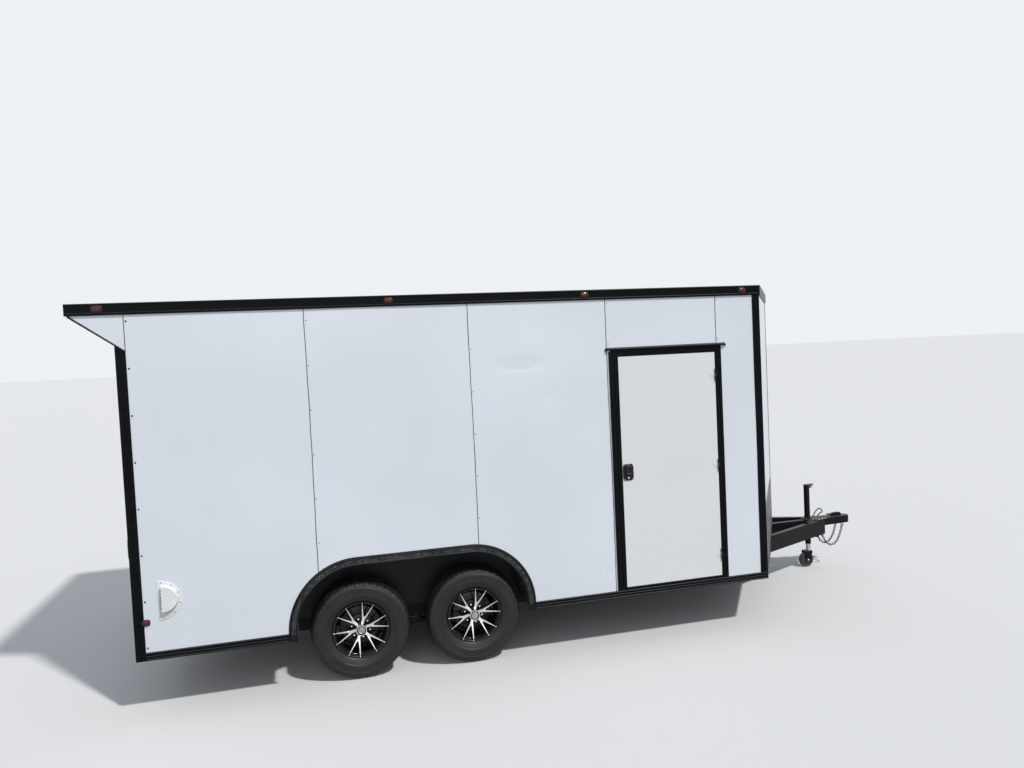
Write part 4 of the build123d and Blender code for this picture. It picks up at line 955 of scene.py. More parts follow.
def hang(x, z):
    """How far a skin sheet stands out of its plane: slow waves, two dents and a soft crease."""
    wave = (np.sin(2.1 * x + 0.7 * z + 0.4) * np.sin(3.3 * z - 0.9 * x + 1.1)
            + 0.5 * np.sin(5.9 * x + 1.3) * np.sin(6.7 * z + 0.5 * x))
    deep = sum(share * np.exp(-((x - at_x) / wide) ** 2 - ((z - at_z) / high) ** 2)
               for at_x, at_z, wide, high, share in DENTS)
    return user_size("oil_canning") * wave - DENT_DEPTH * deep


# Operators, one for each piece or group of like pieces

class TRAILER_OT_stage(bpy.types.Operator):
    """Makes the floor, the soft light and the camera"""
    bl_idname = "trailer.stage"
    bl_label = "Stage"

    def execute(self, context):
        scene = context.scene
        scene.view_settings.view_transform = "Standard"
        camera = bpy.data.cameras.new("camera")
        camera.lens = CAMERA_LENS
        camera.sensor_width = CAMERA_SENSOR
        camera.clip_end = CAMERA_REACH
        eye = bpy.data.objects.new("camera", camera)
        eye.location = CAMERA_PLACE
        eye.rotation_euler = Euler([math.radians(angle) for angle in CAMERA_TURN])
        scene.collection.objects.link(eye)
        scene.camera = eye
        self.floor(scene)
        self.lights(scene)
        self.world(scene)
        return {"FINISHED"}

    def floor(self, scene):
        """A wide pale sheet, which bounces less light than it shows."""
        corners = [(x * FLOOR_REACH, y * FLOOR_REACH, 0)
                   for x, y in ((-1, -1), (1, -1), (1, 1), (-1, 1))]
        mesh = bpy.data.meshes.new("floor")
        mesh.from_pydata(corners, [], [(0, 1, 2, 3)])
        ground = bpy.data.objects.new("floor", mesh)
        scene.collection.objects.link(ground)
        f = Finish("pale_floor", (0.62, 0.62, 0.61), 0.9, specular=0.1)
        seen = f.node("ShaderNodeLightPath", {}, {}, "Is Camera Ray")
        for ray in OTHER_RAYS:
            seen = seen.math("MAXIMUM", f.node("ShaderNodeLightPath", {}, {}, ray))
        f.set(Base_Color=f.mix(seen, FLOOR_LIT, FLOOR_SEEN))
        mesh.materials.append(f.material)

    def lights(self, scene):
        """Three distant lamps: name, strength, width in degrees, colour and the way they shine."""
        for name, energy, angle, colour, way in SUNS:
            lamp = bpy.data.lights.new(name, "SUN")
            lamp.energy = energy
            lamp.angle = math.radians(angle)
            lamp.color = colour
            thing = bpy.data.objects.new(name, lamp)
            thing.rotation_euler = Vector(way).to_track_quat("-Z", "Y").to_euler()
            scene.collection.objects.link(thing)

    def world(self, scene):
        """An even sky, which lights less than it shows."""
        world = bpy.data.worlds.new("studio")
        world.use_nodes = True
        nodes, links = world.node_tree.nodes, world.node_tree.links
        path = nodes.new("ShaderNodeLightPath")
        seen = path.outputs["Is Camera Ray"]
        for ray in OTHER_RAYS:
            larger = nodes.new("ShaderNodeMath")
            larger.operation = "MAXIMUM"
            links.new(seen, larger.inputs[0])
            links.new(path.outputs[ray], larger.inputs[1])
            seen = larger.outputs[0]
        mix = nodes.new("ShaderNodeMix")
        mix.data_type = "RGBA"
        mix.inputs[6].default_value = (*WORLD_LIT, 1)
        mix.inputs[7].default_value = (*WORLD_SEEN, 1)
        links.new(seen, mix.inputs[0])
        links.new(mix.outputs[2], nodes["Background"].inputs["Color"])
        scene.world = world


class TRAILER_OT_frame_finishes(bpy.types.Operator):
    """Gives each carried-over piece of the frame its finish"""
    bl_idname = "trailer.frame_finishes"
    bl_label = "Frame finishes"

    def execute(self, context):
        chosen = {node: name for name, group in NODE_FINISHES.items() for node in group}
        for number in PANELS:
            for side, _ in SIDES:
                chosen[f"panel_{side}_{number}"] = "lined_wall"
        for node, name in chosen.items():
            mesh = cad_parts[node].data
            mesh.materials.clear()
            mesh.materials.append(finish(name))
        return {"FINISHED"}


class TRAILER_OT_skins(bpy.types.Operator):
    """Lays the thin painted sheets over the walls, with their seams and screws"""
    bl_idname = "trailer.skins"
    bl_label = "Skins"

    def sheet(self, x0, x1, z0, z1, side, arched):
        """A grid between an edge that follows the wheel arch and a straight top: the sheet stands
        out of the wall by its own thickness and the slow waves of hang(), which fade at its edges
        and are other ones on the left side."""
        step, rows, fade, sunk = 0.02, 110, 0.03, 0.001
        stretch, shift = (1, 0) if side < 0 else (0.83, 1.7)
        count = max(6, int((x1 - x0) / step))
        x = np.linspace(x0, x1, count)
        low = np.full(count, z0)
        if arched:
            low = np.maximum(arch_height(x, FLARE / 4), z0)
        share = np.linspace(0, 1, rows)[None, :]
        z = low[:, None] + (z1 - low[:, None]) * share
        xs = np.repeat(x[:, None], rows, 1)
        edge = np.clip((xs - x0) / fade, 0, 1) * np.clip((x1 - xs) / fade, 0, 1)
        y = SKIN + SKIN_PROUD + hang(xs * stretch + shift, z) * edge
        outer = np.stack([xs, side * y, z], 2)
        inner = np.stack([xs, np.full_like(xs, side * (SKIN - sunk)), z], 2)
        return slab(outer, inner)

    def over_door(self, side_name, number):
        """Whether a panel is the one that stands over the side door."""
        return side_name == "right" and number == DOOR_PANEL

    def execute(self, context):
        gap, door_lap = 0.0008, 0.004
        for side_name, side in SIDES:
            shapes = []
            for number in PANELS:
                low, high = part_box(f"panel_{side_name}_{number}")
                over = self.over_door(side_name, number)
                z0 = DOOR_HEAD - door_lap if over else SKIN_LOW
                shapes.append(self.sheet(low.x + gap, high.x - gap, z0, SKIN_HIGH, side,
                                         number < DOOR_PANEL))
            piece(f"skin_sheets_{side_name}", joined(*shapes), "painted_skin",
                  crease=25)
        self.seams()
        self.screws()
        return {"FINISHED"}

    def seams(self):
        """A thin bead down each seam, in a line that wanders by a millimetre or two, and a straight
        one at the rear."""
        section = np.array([[-0.0027, -0.001], [0.0027, -0.001], [0.0023, 0.0022], [-0.0023, 0.0022]])
        proud, door_lap, rear_width = 0.0012, 0.002, 0.0022
        shapes = []
        for side_name, side in SIDES:
            for number in PANELS[1:]:
                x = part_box(f"panel_{side_name}_{number}")[0].x
                start = max(float(arch_height(x, FLARE * 0.96)), SKIN_LOW)
                if self.over_door(side_name, number - 1):
                    start = DOOR_HEAD - door_lap
                z = np.linspace(start, SKIN_HIGH, 70)
                wander = 0.0022 * np.sin(3.1 * z + number) + 0.0008 * np.sin(17.0 * z + 2 * number)
                path = np.stack([x + wander, np.full_like(z, side * (SKIN + proud)), z], 1)
                shapes.append(capped(path[:, None] + section[None, :, :1] * np.array([1.0, 0, 0])
                                     + section[None, :, 1:] * np.array([0, side, 0.0])))
            y = sorted((side * (SKIN - 0.001), side * (SKIN + 0.0030)))
            shapes.append(box_form((REAR_SEAM - rear_width, y[0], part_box("spoiler")[0].z + 0.004),
                                   (REAR_SEAM + rear_width, y[1], SKIN_HIGH)))
        piece("seam_beads", joined(*shapes), "sealant", crease=20)

    def screws(self):
        """Screws beside each seam at an even pitch; those of the rear post are larger."""
        aside, above_sill, above_arch = 0.014, 0.03, 0.20
        groups = {}
        for side_name, side in SIDES:
            for number in PANELS:
                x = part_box(f"panel_{side_name}_{number}")[0].x + aside
                low = SKIN_LOW + above_sill
                if abs(x - ARCH_MIDDLE) < ARCH_HALF:
                    low = float(arch_height(x, FLARE)) + above_arch
                if self.over_door(side_name, number) or self.over_door(side_name, number - 1):
                    low = DOOR_HEAD + above_sill
                size = REAR_SCREW if number == 1 else SKIN_SCREW
                for z in np.arange(low, SKIN_HIGH - 0.02, user_size("screw_pitch")):
                    groups.setdefault((size, side), []).append((x, side * (SKIN + SKIN_PROUD), z))
        shapes = [heads(groups[size, side], (0, side, 0), size)
                  for size in (SKIN_SCREW, REAR_SCREW) for _, side in SIDES]
        piece("skin_screws", joined(*shapes), "screw")


class TRAILER_OT_trims(bpy.types.Operator):
    """Adds the rivets and the pressed ribs of the black trims"""
    bl_idname = "trailer.trims"
    bl_label = "Trims"

    def execute(self, context):
        """Rivets at an even pitch on the front posts, the rear posts, the top trim and the rail."""
        pitch = user_size("rivet_pitch")
        post = -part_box("corner_posts")[0].y
        rear_pitch, rear_top, top_share, from_arch = 0.075, SKIN_HIGH - 0.27, 0.8, 0.02
        front_x = (BOX_FRONT - 0.05, BOX_FRONT - 0.012)
        rear_x = (REAR_SEAM - 0.052, REAR_SEAM - 0.014)
        top_z, sill_y, sill_z = SKIN_HIGH + 0.011, SKIN + 0.005, SKIN_LOW - 0.0045
        front = np.arange(SKIN_LOW + 0.06, SKIN_HIGH - 0.04, pitch)
        rear = np.arange(RAIL_LOW + 0.04, rear_top, rear_pitch)
        top = np.arange(TAIL + 0.06, BOX_FRONT - 0.04, pitch * top_share)
        sill = np.arange(REAR_SEAM + 0.05, BOX_FRONT - 0.05, pitch)
        sill = sill[np.abs(sill - ARCH_MIDDLE) > ARCH_HALF + FLARE + from_arch]
        shapes = []
        for _, side in SIDES:
            rows = [([(x, side * post, z) for z in front], SKIN_SCREW) for x in front_x]
            rows += [([(x, side * post, z) for z in rear], POST_RIVET) for x in rear_x]
            rows.append(([(x, side * TRIM_FACE, top_z) for x in top], SKIN_SCREW))
            rows.append(([(x, side * sill_y, sill_z) for x in sill], RAIL_RIVET))
            shapes += [heads(places, (0, side, 0), size) for places, size in rows]
        # The rib finish paints a highlight on the tops of the heads
        piece("trim_rivets", joined(*shapes), "rib")
        self.ridges()
        return {"FINISHED"}

    def ridges(self):
        """Half-round ribs along the top trim, the bottom rail and the door frame, and the black edge
        under the spoiler's sides."""
        top = ((SKIN_HIGH + 0.013, 0.0042), (ROOF_TOP - 0.0065, 0.0055))
        rail = ((SKIN_LOW - 0.0065, 0.0045), (RAIL_LOW + 0.008, 0.0045), (RAIL_LOW + 0.030, 0.0030))
        runs = ((REAR_SEAM, ARCH_BACK - FLARE), (ARCH_FRONT + FLARE, BOX_FRONT))
        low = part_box("spoiler")[0]
        edge_radius, door_radius = 0.0065, 0.0026
        shapes = []
        for _, side in SIDES:
            out = (0, side, 0)
            face = side * TRIM_FACE
            shapes += [rib((TAIL + 0.001, face, z), (BOX_FRONT - 0.002, face, z), out, radius)
                       for z, radius in top]
            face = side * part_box("bottom_trim")[1].y
            shapes += [rib((x0, face, z), (x1, face, z), out, radius)
                       for z, radius in rail for x0, x1 in runs]
            face = side * (SKIN + 0.0002)
            shapes.append(rib((REAR_SEAM, face, low.z + 0.006), (low.x + 0.008, face, SKIN_HIGH - 0.004),
                              out, edge_radius))
        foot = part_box("door_frame")[0].z + 0.004
        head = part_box("door_leaf")[1].z + 0.002
        face = -SKIN - 0.009
        rear_edge, front_edge = place(DOOR_REAR), place(DOOR_FRONT)
        for x in (rear_edge - 0.048, rear_edge - 0.024, front_edge + 0.018, front_edge + 0.036):
            shapes.append(rib((x, face, foot), (x, face, head), (0, -1, 0), door_radius))
        # The rib finish paints a highlight on the crests that face up
        piece("trim_ribs", joined(*shapes), "rib")


class TRAILER_OT_arches(bpy.types.Operator):
    """Makes the wheel arch trims, the marks of their tread plate and the crease of the inner plate"""
    bl_idname = "trailer.arches"
    bl_label = "Wheel arches"

    def trim(self):
        """The trim's section, in height from the arch's edge and depth from the skin, carried along
        the arch: a turned inner lip, a flat band and a double bead at its outer edge."""
        section = np.array([[0.0000, -0.004], [-0.0005, 0.0085], [0.0020, 0.0100], [0.0060, 0.0098],
                            [0.0085, 0.0062], [0.0120, 0.0052], [0.0400, 0.0052], [0.0420, 0.0075],
                            [0.0445, 0.0092], [0.0475, 0.0092], [0.0495, 0.0070], [0.0515, 0.0070],
                            [0.0535, 0.0095], [0.0575, 0.0095], [0.0598, 0.0060], [0.0600, -0.001]])
        line, out = arch_line(28)
        spot = line[:, None] + out[:, None] * section[None, :, :1]
        y = -(SKIN + np.repeat(section[None, :, 1], len(line), 0))
        return capped(np.stack([spot[..., 0], y, spot[..., 1]], 2))

    def band_marks(self):
        """Small marks along the trim's band, in three staggered rows."""
        pitch, foot, proud = 0.017, 0.050, 0.005
        rows = []
        for number, height in enumerate((0.0165, 0.0255, 0.0345)):
            line, out = even_arch(pitch, foot + 0.0085 * (number % 2), foot)
            spot = line + out * height
            count = len(spot)
            places = np.stack([spot[:, 0], np.full(count, -(SKIN + proud)), spot[:, 1]], 1)
            along = np.stack([out[:, 1], np.zeros(count), -out[:, 0]], 1)
            across = np.stack([out[:, 0], np.zeros(count), out[:, 1]], 1)
            face = np.tile([0.0, -1.0, 0.0], (count, 1))
            leans = (np.arange(count) + number) % 2 == 0
            rows.append(tread_pattern(places, along, across, face, leans, BAND_MARK))
        return joined(*rows)

    def roof_marks(self):
        """Marks over the well's roof, on the side that faces the tyres."""
        pitch, edge = user_size("tread_pitch"), 0.012
        line, out = even_arch(pitch, 0.04, 0.04)
        across = np.arange(-SKIN + edge, -WELL_IN - edge, pitch)
        i, j, leans = chequered(len(line), len(across))
        places = np.stack([line[i, 0], across[j], line[i, 1]], 1)
        inward = -np.stack([out[i, 0], np.zeros(len(i)), out[i, 1]], 1)
        along = np.stack([out[i, 1], np.zeros(len(i)), -out[i, 0]], 1)
        return tread_pattern(places, along, np.cross(inward, along), inward, leans)

    def execute(self, context):
        piece("arch_trims", both_sides(self.trim()), "tread_black",
              replaces=("arch_flares",), crease=28)
        marks = joined(both_sides(self.band_marks()), both_sides(self.roof_marks()))
        piece("arch_marks", marks, "tread_marks", crease=20)
        half, low, high = 0.42, 0.560, 0.566
        plate = box_form((ARCH_MIDDLE - half, -WELL_IN - 0.0012, low),
                         (ARCH_MIDDLE + half, -WELL_IN + 0.001, high))
        piece("well_creases", both_sides(plate), "tread_black", bevel=0.0005)
        return {"FINISHED"}


class TRAILER_OT_guard(bpy.types.Operator):
    """Covers the nose guard with tread plate marks and rivets its edges"""
    bl_idname = "trailer.guard"
    bl_label = "Nose guard"

    def execute(self, context):
        """Marks and rivets on the right face, from the corner of the nose along it and up."""
        low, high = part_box("stone_guard")
        pitch, proud, rivet_pitch = user_size("tread_pitch"), 0.003, 0.15
        slant = math.hypot(SKIN, NOSE_TIP - BOX_FRONT)
        ahead = (NOSE_TIP - BOX_FRONT) / slant
        aside = SKIN / slant
        out = np.array([aside, -ahead, 0.0])
        run = np.array([ahead, aside, 0.0])
        up = np.array([0.0, 0.0, 1.0])
        start = np.array([BOX_FRONT, -SKIN, 0.0]) + out * proud
        u = np.arange(0.03, slant - 0.02, pitch)
        v = np.arange(max(low.z, 0.5) + 0.02, high.z - 0.02, pitch)
        i, j, leans = chequered(len(u), len(v))
        places = start + run * u[i][:, None] + up * v[j][:, None]
        along, across, face = (np.tile(axis, (len(i), 1)) for axis in (run, up, out))
        marks = tread_pattern(places, along, across, face, leans)
        piece("guard_marks", both_sides(marks), "tread_marks", crease=20)
        places = start + run * np.arange(0.02, slant, rivet_pitch)[:, None] + up * (high.z - 0.012)
        rivets = heads(places, out, GUARD_RIVET)
        piece("guard_rivets", both_sides(rivets), "zinc_plate")
        return {"FINISHED"}


class TRAILER_OT_tyres(bpy.types.Operator):
    """Makes the four tyres with their tread and sidewalls"""
    bl_idname = "trailer.tyres"
    bl_label = "Tyres"

    def section(self, count):
        """The outline in radius and height: superellipse crown and shoulders above the widest
        place, and below it a quarter cosine that draws in to the bead."""
        wide, bead_r, bead_z = 0.288, 0.2092, 0.084
        t = np.linspace(0, np.pi, count)
        crown_r = wide + (TYRE_RADIUS - wide) * np.abs(np.sin(t)) ** 0.58
        crown_z = TYRE_HALF * np.sign(np.cos(t)) * np.abs(np.cos(t)) ** 0.50
        s = np.linspace(0, 1, count // 3)[1:]
        wall_r = wide - (wide - bead_r) * s
        wall_z = bead_z + (TYRE_HALF - bead_z) * np.cos(s * np.pi / 2) ** 0.8
        return (np.concatenate([wall_r[::-1], crown_r, wall_r]),
                np.concatenate([wall_z[::-1], crown_z, -wall_z]))

    def shape(self):
        """The outline carried round the axle, sunk at the grooves: three straight grooves, cross
        cuts between them, radial cuts at the shoulders and thin rings on each sidewall."""
        steps, lug_count, tread_r, wall_r, inner_r, inner_z = 420, 105, 0.352, 0.345, 0.2005, 0.082
        r, z = self.section(66)
        turn = np.linspace(0, 2 * np.pi, steps, endpoint=False)
        r2 = np.repeat(r[None], steps, 0)
        z2 = np.repeat(z[None], steps, 0)
        on_tread = np.clip((r2 - tread_r) / 0.006, 0, 1)
        groove = np.zeros_like(r2)
        for middle in (-0.036, 0.0, 0.036):
            groove = np.maximum(groove, np.exp(-((z2 - middle) / 0.0042) ** 4))
        lugs = 0.5 + 0.5 * np.sign(np.sin(turn * lug_count))[:, None]
        shoulder = np.clip((np.abs(z2) - 0.060) / 0.012, 0, 1) * np.clip((r2 - 0.326) / 0.006, 0, 1)
        cuts = lugs * shoulder * np.clip((0.1165 - np.abs(z2)) / 0.004, 0.15, 1)
        sipes = 0.5 + 0.5 * np.sign(np.sin(turn * lug_count + 1.1))[:, None]
        radius = r2 - (0.0075 * groove * on_tread + 0.0055 * cuts
                       + 0.0015 * (sipes * (1 - shoulder) * on_tread))
        ring = 0.0030 * sum(share * np.exp(-((r2 - middle) / wide) ** 2) for middle, wide, share
                            in ((0.318, 0.0024, 1.0), (0.262, 0.0026, 1.0), (0.224, 0.0028, 0.6)))
        ring = ring - 0.0016 * np.exp(-((r2 - 0.291) / 0.010) ** 4)
        height = z2 + np.sign(z2) * (ring - 0.0012) * np.clip((wall_r - r2) / 0.01, 0, 1)
        height = np.clip(height, -TYRE_HALF, TYRE_HALF)
        radius = np.hstack([radius, np.full((steps, 2), inner_r)])
        height = np.hstack([height, np.tile([-inner_z, inner_z], (steps, 1))])
        grid = np.stack([radius * np.cos(turn)[:, None], radius * np.sin(turn)[:, None], height], 2)
        return surface(grid, True, True)

    def execute(self, context):
        shape = self.shape()
        for name, side in SIDES:
            for end in ENDS:
                tag = f"{name}_{end}"
                piece(f"road_tyre_{tag}", placed(shape, wheel_matrix(tag, side)), "tyre_rubber",
                      body=f"wheel_{tag}", replaces=(f"tyre_{tag}",), crease=40)
        return {"FINISHED"}


# Outlines of the wheel's turned parts: radius, and height along the axle, in metres
BARREL = [(0.2070, 0.0925), (0.2085, 0.0900), (0.2080, 0.0860), (0.1950, 0.0838), (0.1932, 0.0790),
          (0.1925, 0.040), (0.1890, 0.030), (0.1890, -0.040), (0.1928, -0.050), (0.1932, -0.0838),
          (0.2080, -0.0860), (0.2080, -0.0920), (0.1990, -0.0920), (0.1830, -0.0790), (0.1800, 0.030),
          (0.1815, 0.0560), (0.1850, 0.0640), (0.1885, 0.0668), (0.1900, 0.0740), (0.1915, 0.0790),
          (0.1965, 0.0805), (0.1985, 0.0830), (0.2000, 0.0895), (0.2030, 0.0918)]
PAD = [(0.094, -0.002), (0.096, 0.004), (0.094, 0.016), (0.088, 0.0185), (0.050, 0.0185),
       (0.046, 0.034), (0.0, 0.034)]
CAN = [(0.0, 0.034), (0.037, 0.034), (0.0425, 0.046), (0.0425, 0.060), (0.0412, 0.062),
       (0.0408, 0.100), (0.0404, 0.1064), (0.0386, 0.1088), (0.0348, 0.1090), (0.0338, 0.1062),
       (0.0, 0.1062)]
CAP = [(0.0, 0.1056), (0.0250, 0.1056), (0.0244, 0.1088), (0.0225, 0.1098), (0.0185, 0.1098),
       (0.0172, 0.1086), (0.0135, 0.1086), (0.0120, 0.1104), (0.0, 0.1110)]
SHADE_RING = [(0.0254, 0.1056), (0.0334, 0.1056), (0.0334, 0.1070), (0.0254, 0.1070)]
DRUM = [(0.0195, -0.0955), (0.155, -0.0955), (0.155, -0.019), (0.150, -0.014), (0.100, -0.004),
        (0.0, -0.004)]
STEM = [(0.0, 0.0), (0.0052, 0.0), (0.0048, 0.022), (0.0036, 0.024), (0.0036, 0.036),
        (0.0030, 0.038), (0.0, 0.038)]
NUT = [(0.0, 0.018), (0.0118, 0.018), (0.0118, 0.034), (0.0104, 0.040), (0.0062, 0.0445),
       (0.0, 0.0455)]
SPOKES = 6
WHEEL_SIDES = 72


class TRAILER_OT_wheels(bpy.types.Operator):
    """Makes the alloy wheels, their hubs, caps, nuts and valve stems"""
    bl_idname = "trailer.wheels"
    bl_label = "Wheels"

    def arm(self, start, end, widths, depth):
        """A tapered bar between two places, with a flat top, narrow bevels and sloping sides: its
        widths and its depths are those at its two ends."""
        start, end = np.array(start, float), np.array(end, float)
        path = end - start
        side = np.array([-path[1], path[0], 0.0])
        side /= np.linalg.norm(side)
        end_round, end_pinch, chamfer, flare = 0.02, 0.72, 0.0012, 1.15
        inset, drop = side * chamfer, np.array([0, 0, chamfer])
        rings = []
        for share in (0.0, end_round, 1 - end_round, 1.0):
            middle = start + path * share
            pinch = end_pinch if share in (0.0, 1.0) else 1.0
            half = side * (widths[0] + (widths[1] - widths[0]) * share) / 2 * pinch
            low = np.array([0, 0, depth[0] + (depth[1] - depth[0]) * share])
            rings.append([middle + half - drop, middle + half - inset, middle - half + inset,
                          middle - half - drop, middle - half * flare - low,
                          middle + half * flare - low])
        return capped(np.array(rings))

    def spokes(self, lift, narrow, depth):
        """Six forked spokes: a stem that widens to the fork, two arms that taper out to the lip, and
        a short bright end on the flange beyond each."""
        root_r, fork_r, lip_r, tip_r = 0.038, 0.078, 0.1865, 0.2040
        root_z, fork_z, lip_z, tip_z = 0.0560, 0.0655, 0.0905, 0.0945
        stem_widths, arm_widths, end_widths = (0.0200, 0.0235), (0.0148, 0.0066), (0.0062, 0.0052)
        lean_angle, foot_y = math.radians(12.0), 0.0062
        bars = [((root_r, 0, root_z), (fork_r + 0.018, 0, fork_z + 0.003), stem_widths)]
        for way in (-1, 1):
            flat = np.array([math.cos(way * lean_angle), math.sin(way * lean_angle), 0.0])
            bars.append(((fork_r, way * foot_y, fork_z), flat * lip_r + [0, 0, lip_z], arm_widths))
            bars.append((flat * (lip_r + 0.004) + [0, 0, lip_z + 0.0012], flat * tip_r + [0, 0, tip_z],
                         end_widths))
        shapes = []
        for number in range(SPOKES):
            turn = user_size("spoke_turn") + number * 2 * np.pi / SPOKES
            ahead, aside = math.cos(turn), math.sin(turn)
            pull = np.array([[ahead, -aside, 0], [aside, ahead, 0], [0, 0, 1.0]])
            for start, end, (first, last) in bars:
                start, end = (pull @ (np.array(spot) + [0, 0, lift]) for spot in (start, end))
                shapes.append(self.arm(start, end, (first - narrow, last - narrow), depth))
        return joined(*shapes)

    def nuts(self):
        """Nuts midway between the stems: a hexagon that closes in a dome."""
        circle_r = 0.070
        turn = user_size("spoke_turn") + (np.arange(SPOKES) + 0.5) * 2 * np.pi / SPOKES
        places = np.stack([circle_r * np.cos(turn), circle_r * np.sin(turn), np.zeros(SPOKES)], 1)
        return scattered(turned(NUT, 6), places, np.eye(3))

    def valve(self):
        """The valve stem, which leans out of the barrel's front."""
        stem_r, stem_z, turn, lean = 0.186, 0.060, math.radians(-97), math.radians(-28)
        return placed(turned(STEM, 16),
                      Matrix.Translation((stem_r * math.cos(turn), stem_r * math.sin(turn), stem_z))
                      @ Matrix.Rotation(turn, 4, "Z") @ Matrix.Rotation(lean, 4, "Y"))

    def execute(self, context):
        """Each row: the piece's name, shape, finish, slot, the node it stands for and its crease."""
        black = joined(ring_form(BARREL, 120), turned(PAD, WHEEL_SIDES),
                       self.spokes(-0.0016, -0.0026, (0.030, 0.012)), ring_form(SHADE_RING, WHEEL_SIDES))
        bright = self.spokes(0.0, 0.0, (0.0035, 0.0035))
        cap = turned(CAP, WHEEL_SIDES)
        nuts = joined(self.nuts(), turned(CAN, WHEEL_SIDES))
        rows = (("wheel_barrel", black, "gloss_black", "alloy", "rim", 32),
                ("wheel_spokes", bright, "polished_alloy", "alloy", None, 30),
                ("wheel_cap", cap, "brushed_cap", "alloy", None, 30),
                ("wheel_nuts", nuts, "chrome", "alloy", None, 30),
                ("brake_drum", turned(DRUM, 80), "gloss_black", "black_steel", "hub", 30),
                ("valve_stem", self.valve(), "chrome", "alloy", None, 30))
        for name, side in SIDES:
            for end in ENDS:
                tag = f"{name}_{end}"
                for kind, shape, look, slot, node, crease in rows:
                    piece(f"{kind}_{tag}", placed(shape, wheel_matrix(tag, side)), look,
                          f"wheel_{tag}", (f"{node}_{tag}",) if node else (), crease)
        return {"FINISHED"}


# Length, height and depth of each kind of lamp, with the places that no box shows
AMBER_LAMP, AMBER_ALONG = (0.064, 0.046, 0.0155), (1.774, 3.287, 4.654)
HIGH_LAMP, HIGH_ALONG = (0.072, 0.052, 0.0165), -0.158
LOW_LAMP, LOW_ALONG, LOW_HEIGHT = (0.050, 0.042, 0.014), 0.014, 0.643
TAIL_LAMP, RAMP_EDGE, TAIL_HEIGHT = (0.060, 0.165, 0.016), 1.171, 1.150
WORK_LAMP, WORK_ASIDE, WORK_SUNK = (0.165, 0.060, 0.012), 0.700, 0.006
BACK_LAMP, BACK_ASIDE = (0.064, 0.036, 0.010), (-0.16, 0.0, 0.16)
SPOILER_DROP, SPOILER_REACH = 0.256, 0.357
LENS_GROW, BASE_GROW, BASE_SHARE = -0.002, 0.002, 0.35


class TRAILER_OT_lamps(bpy.types.Operator):
    """Makes the marker lamps, tail lamps and work lamps with their bases"""
    bl_idname = "trailer.lamps"
    bl_label = "Lamps"

    def bowl(self, length, height, depth, grow, steps=9):
        """A domed lens: superellipse rings that draw in as a quarter ellipse rises."""
        power, flat_top, round_share, sunk = 0.62, 0.92, 0.8, 0.001
        x, y = squarish(48, power)
        x, y = x * (length / 2 + grow), y * (height / 2 + grow)
        rise = np.linspace(0, np.pi / 2 * flat_top, steps)
        short = min(length, height)
        rings = []
        for a in np.concatenate([[0.0], rise]):
            shrink = (1 - math.cos(a)) * round_share * short
            level = depth * math.sin(a) / math.sin(rise[-1])
            rings.append(np.stack([x * (1 - shrink / length), y * (1 - shrink / height),
                                   np.full_like(x, level)], 1))
        rings[0][:, 2] = -sunk
        return capped(np.array(rings))

    def table(self):
        """Every lamp: its kind, its middle, the way it faces and its sizes."""
        middle_z = (SKIN_HIGH + ROOF_TOP) / 2
        side_z = middle_z + 0.002
        back = basis((0, -1, 0), (0, 0, 1), (-1, 0, 0))
        tail_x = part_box("ramp_door")[0].x + 0.008
        low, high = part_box("loading_lamps")
        tilt = math.atan2(SPOILER_DROP, SPOILER_REACH)
        out = np.array([-math.sin(tilt), 0, -math.cos(tilt)])
        under = basis((0, 1, 0), np.cross(out, (0, 1, 0)), out)
        rows = []
        for _, side in SIDES:
            face = basis((-side, 0, 0), (0, 0, 1), (0, side, 0))
            rows += [("amber", (place(along), side * TRIM_FACE, side_z), face, AMBER_LAMP)
                     for along in AMBER_ALONG]
            work = np.array([midway(low.x, high.x), side * WORK_ASIDE, midway(low.z, high.z)])
            rows += [("red", (place(HIGH_ALONG), side * TRIM_FACE, side_z), face, HIGH_LAMP),
                     ("red", (place(LOW_ALONG), side * (SKIN + 0.0055), LOW_HEIGHT), face, LOW_LAMP),
                     ("red", (tail_x, side * (SKIN + RAMP_EDGE) / 2, TAIL_HEIGHT), back, TAIL_LAMP),
                     ("clear", work - out * WORK_SUNK, under, WORK_LAMP)]
        rows += [("red", (TAIL + 0.001, y, middle_z), back, BACK_LAMP) for y in BACK_ASIDE]
        return rows

    def execute(self, context):
        lenses = {"amber": [], "red": [], "clear": []}
        bases = []
        for kind, middle, face, (length, height, depth) in self.table():
            where = stand(middle, face)
            lenses[kind].append(placed(self.bowl(length, height, depth, LENS_GROW), where))
            bases.append(placed(self.bowl(length, height, depth * BASE_SHARE, BASE_GROW, 4), where))
        nodes = {"amber": "amber_lamps", "red": "red_lamps", "clear": "loading_lamps"}
        for kind, shapes in lenses.items():
            piece(f"{kind}_lenses", joined(*shapes), kind,
                  replaces=(nodes[kind],), crease=50)
        piece("lamp_bases", joined(*bases), "gasket", crease=50)
        return {"FINISHED"}


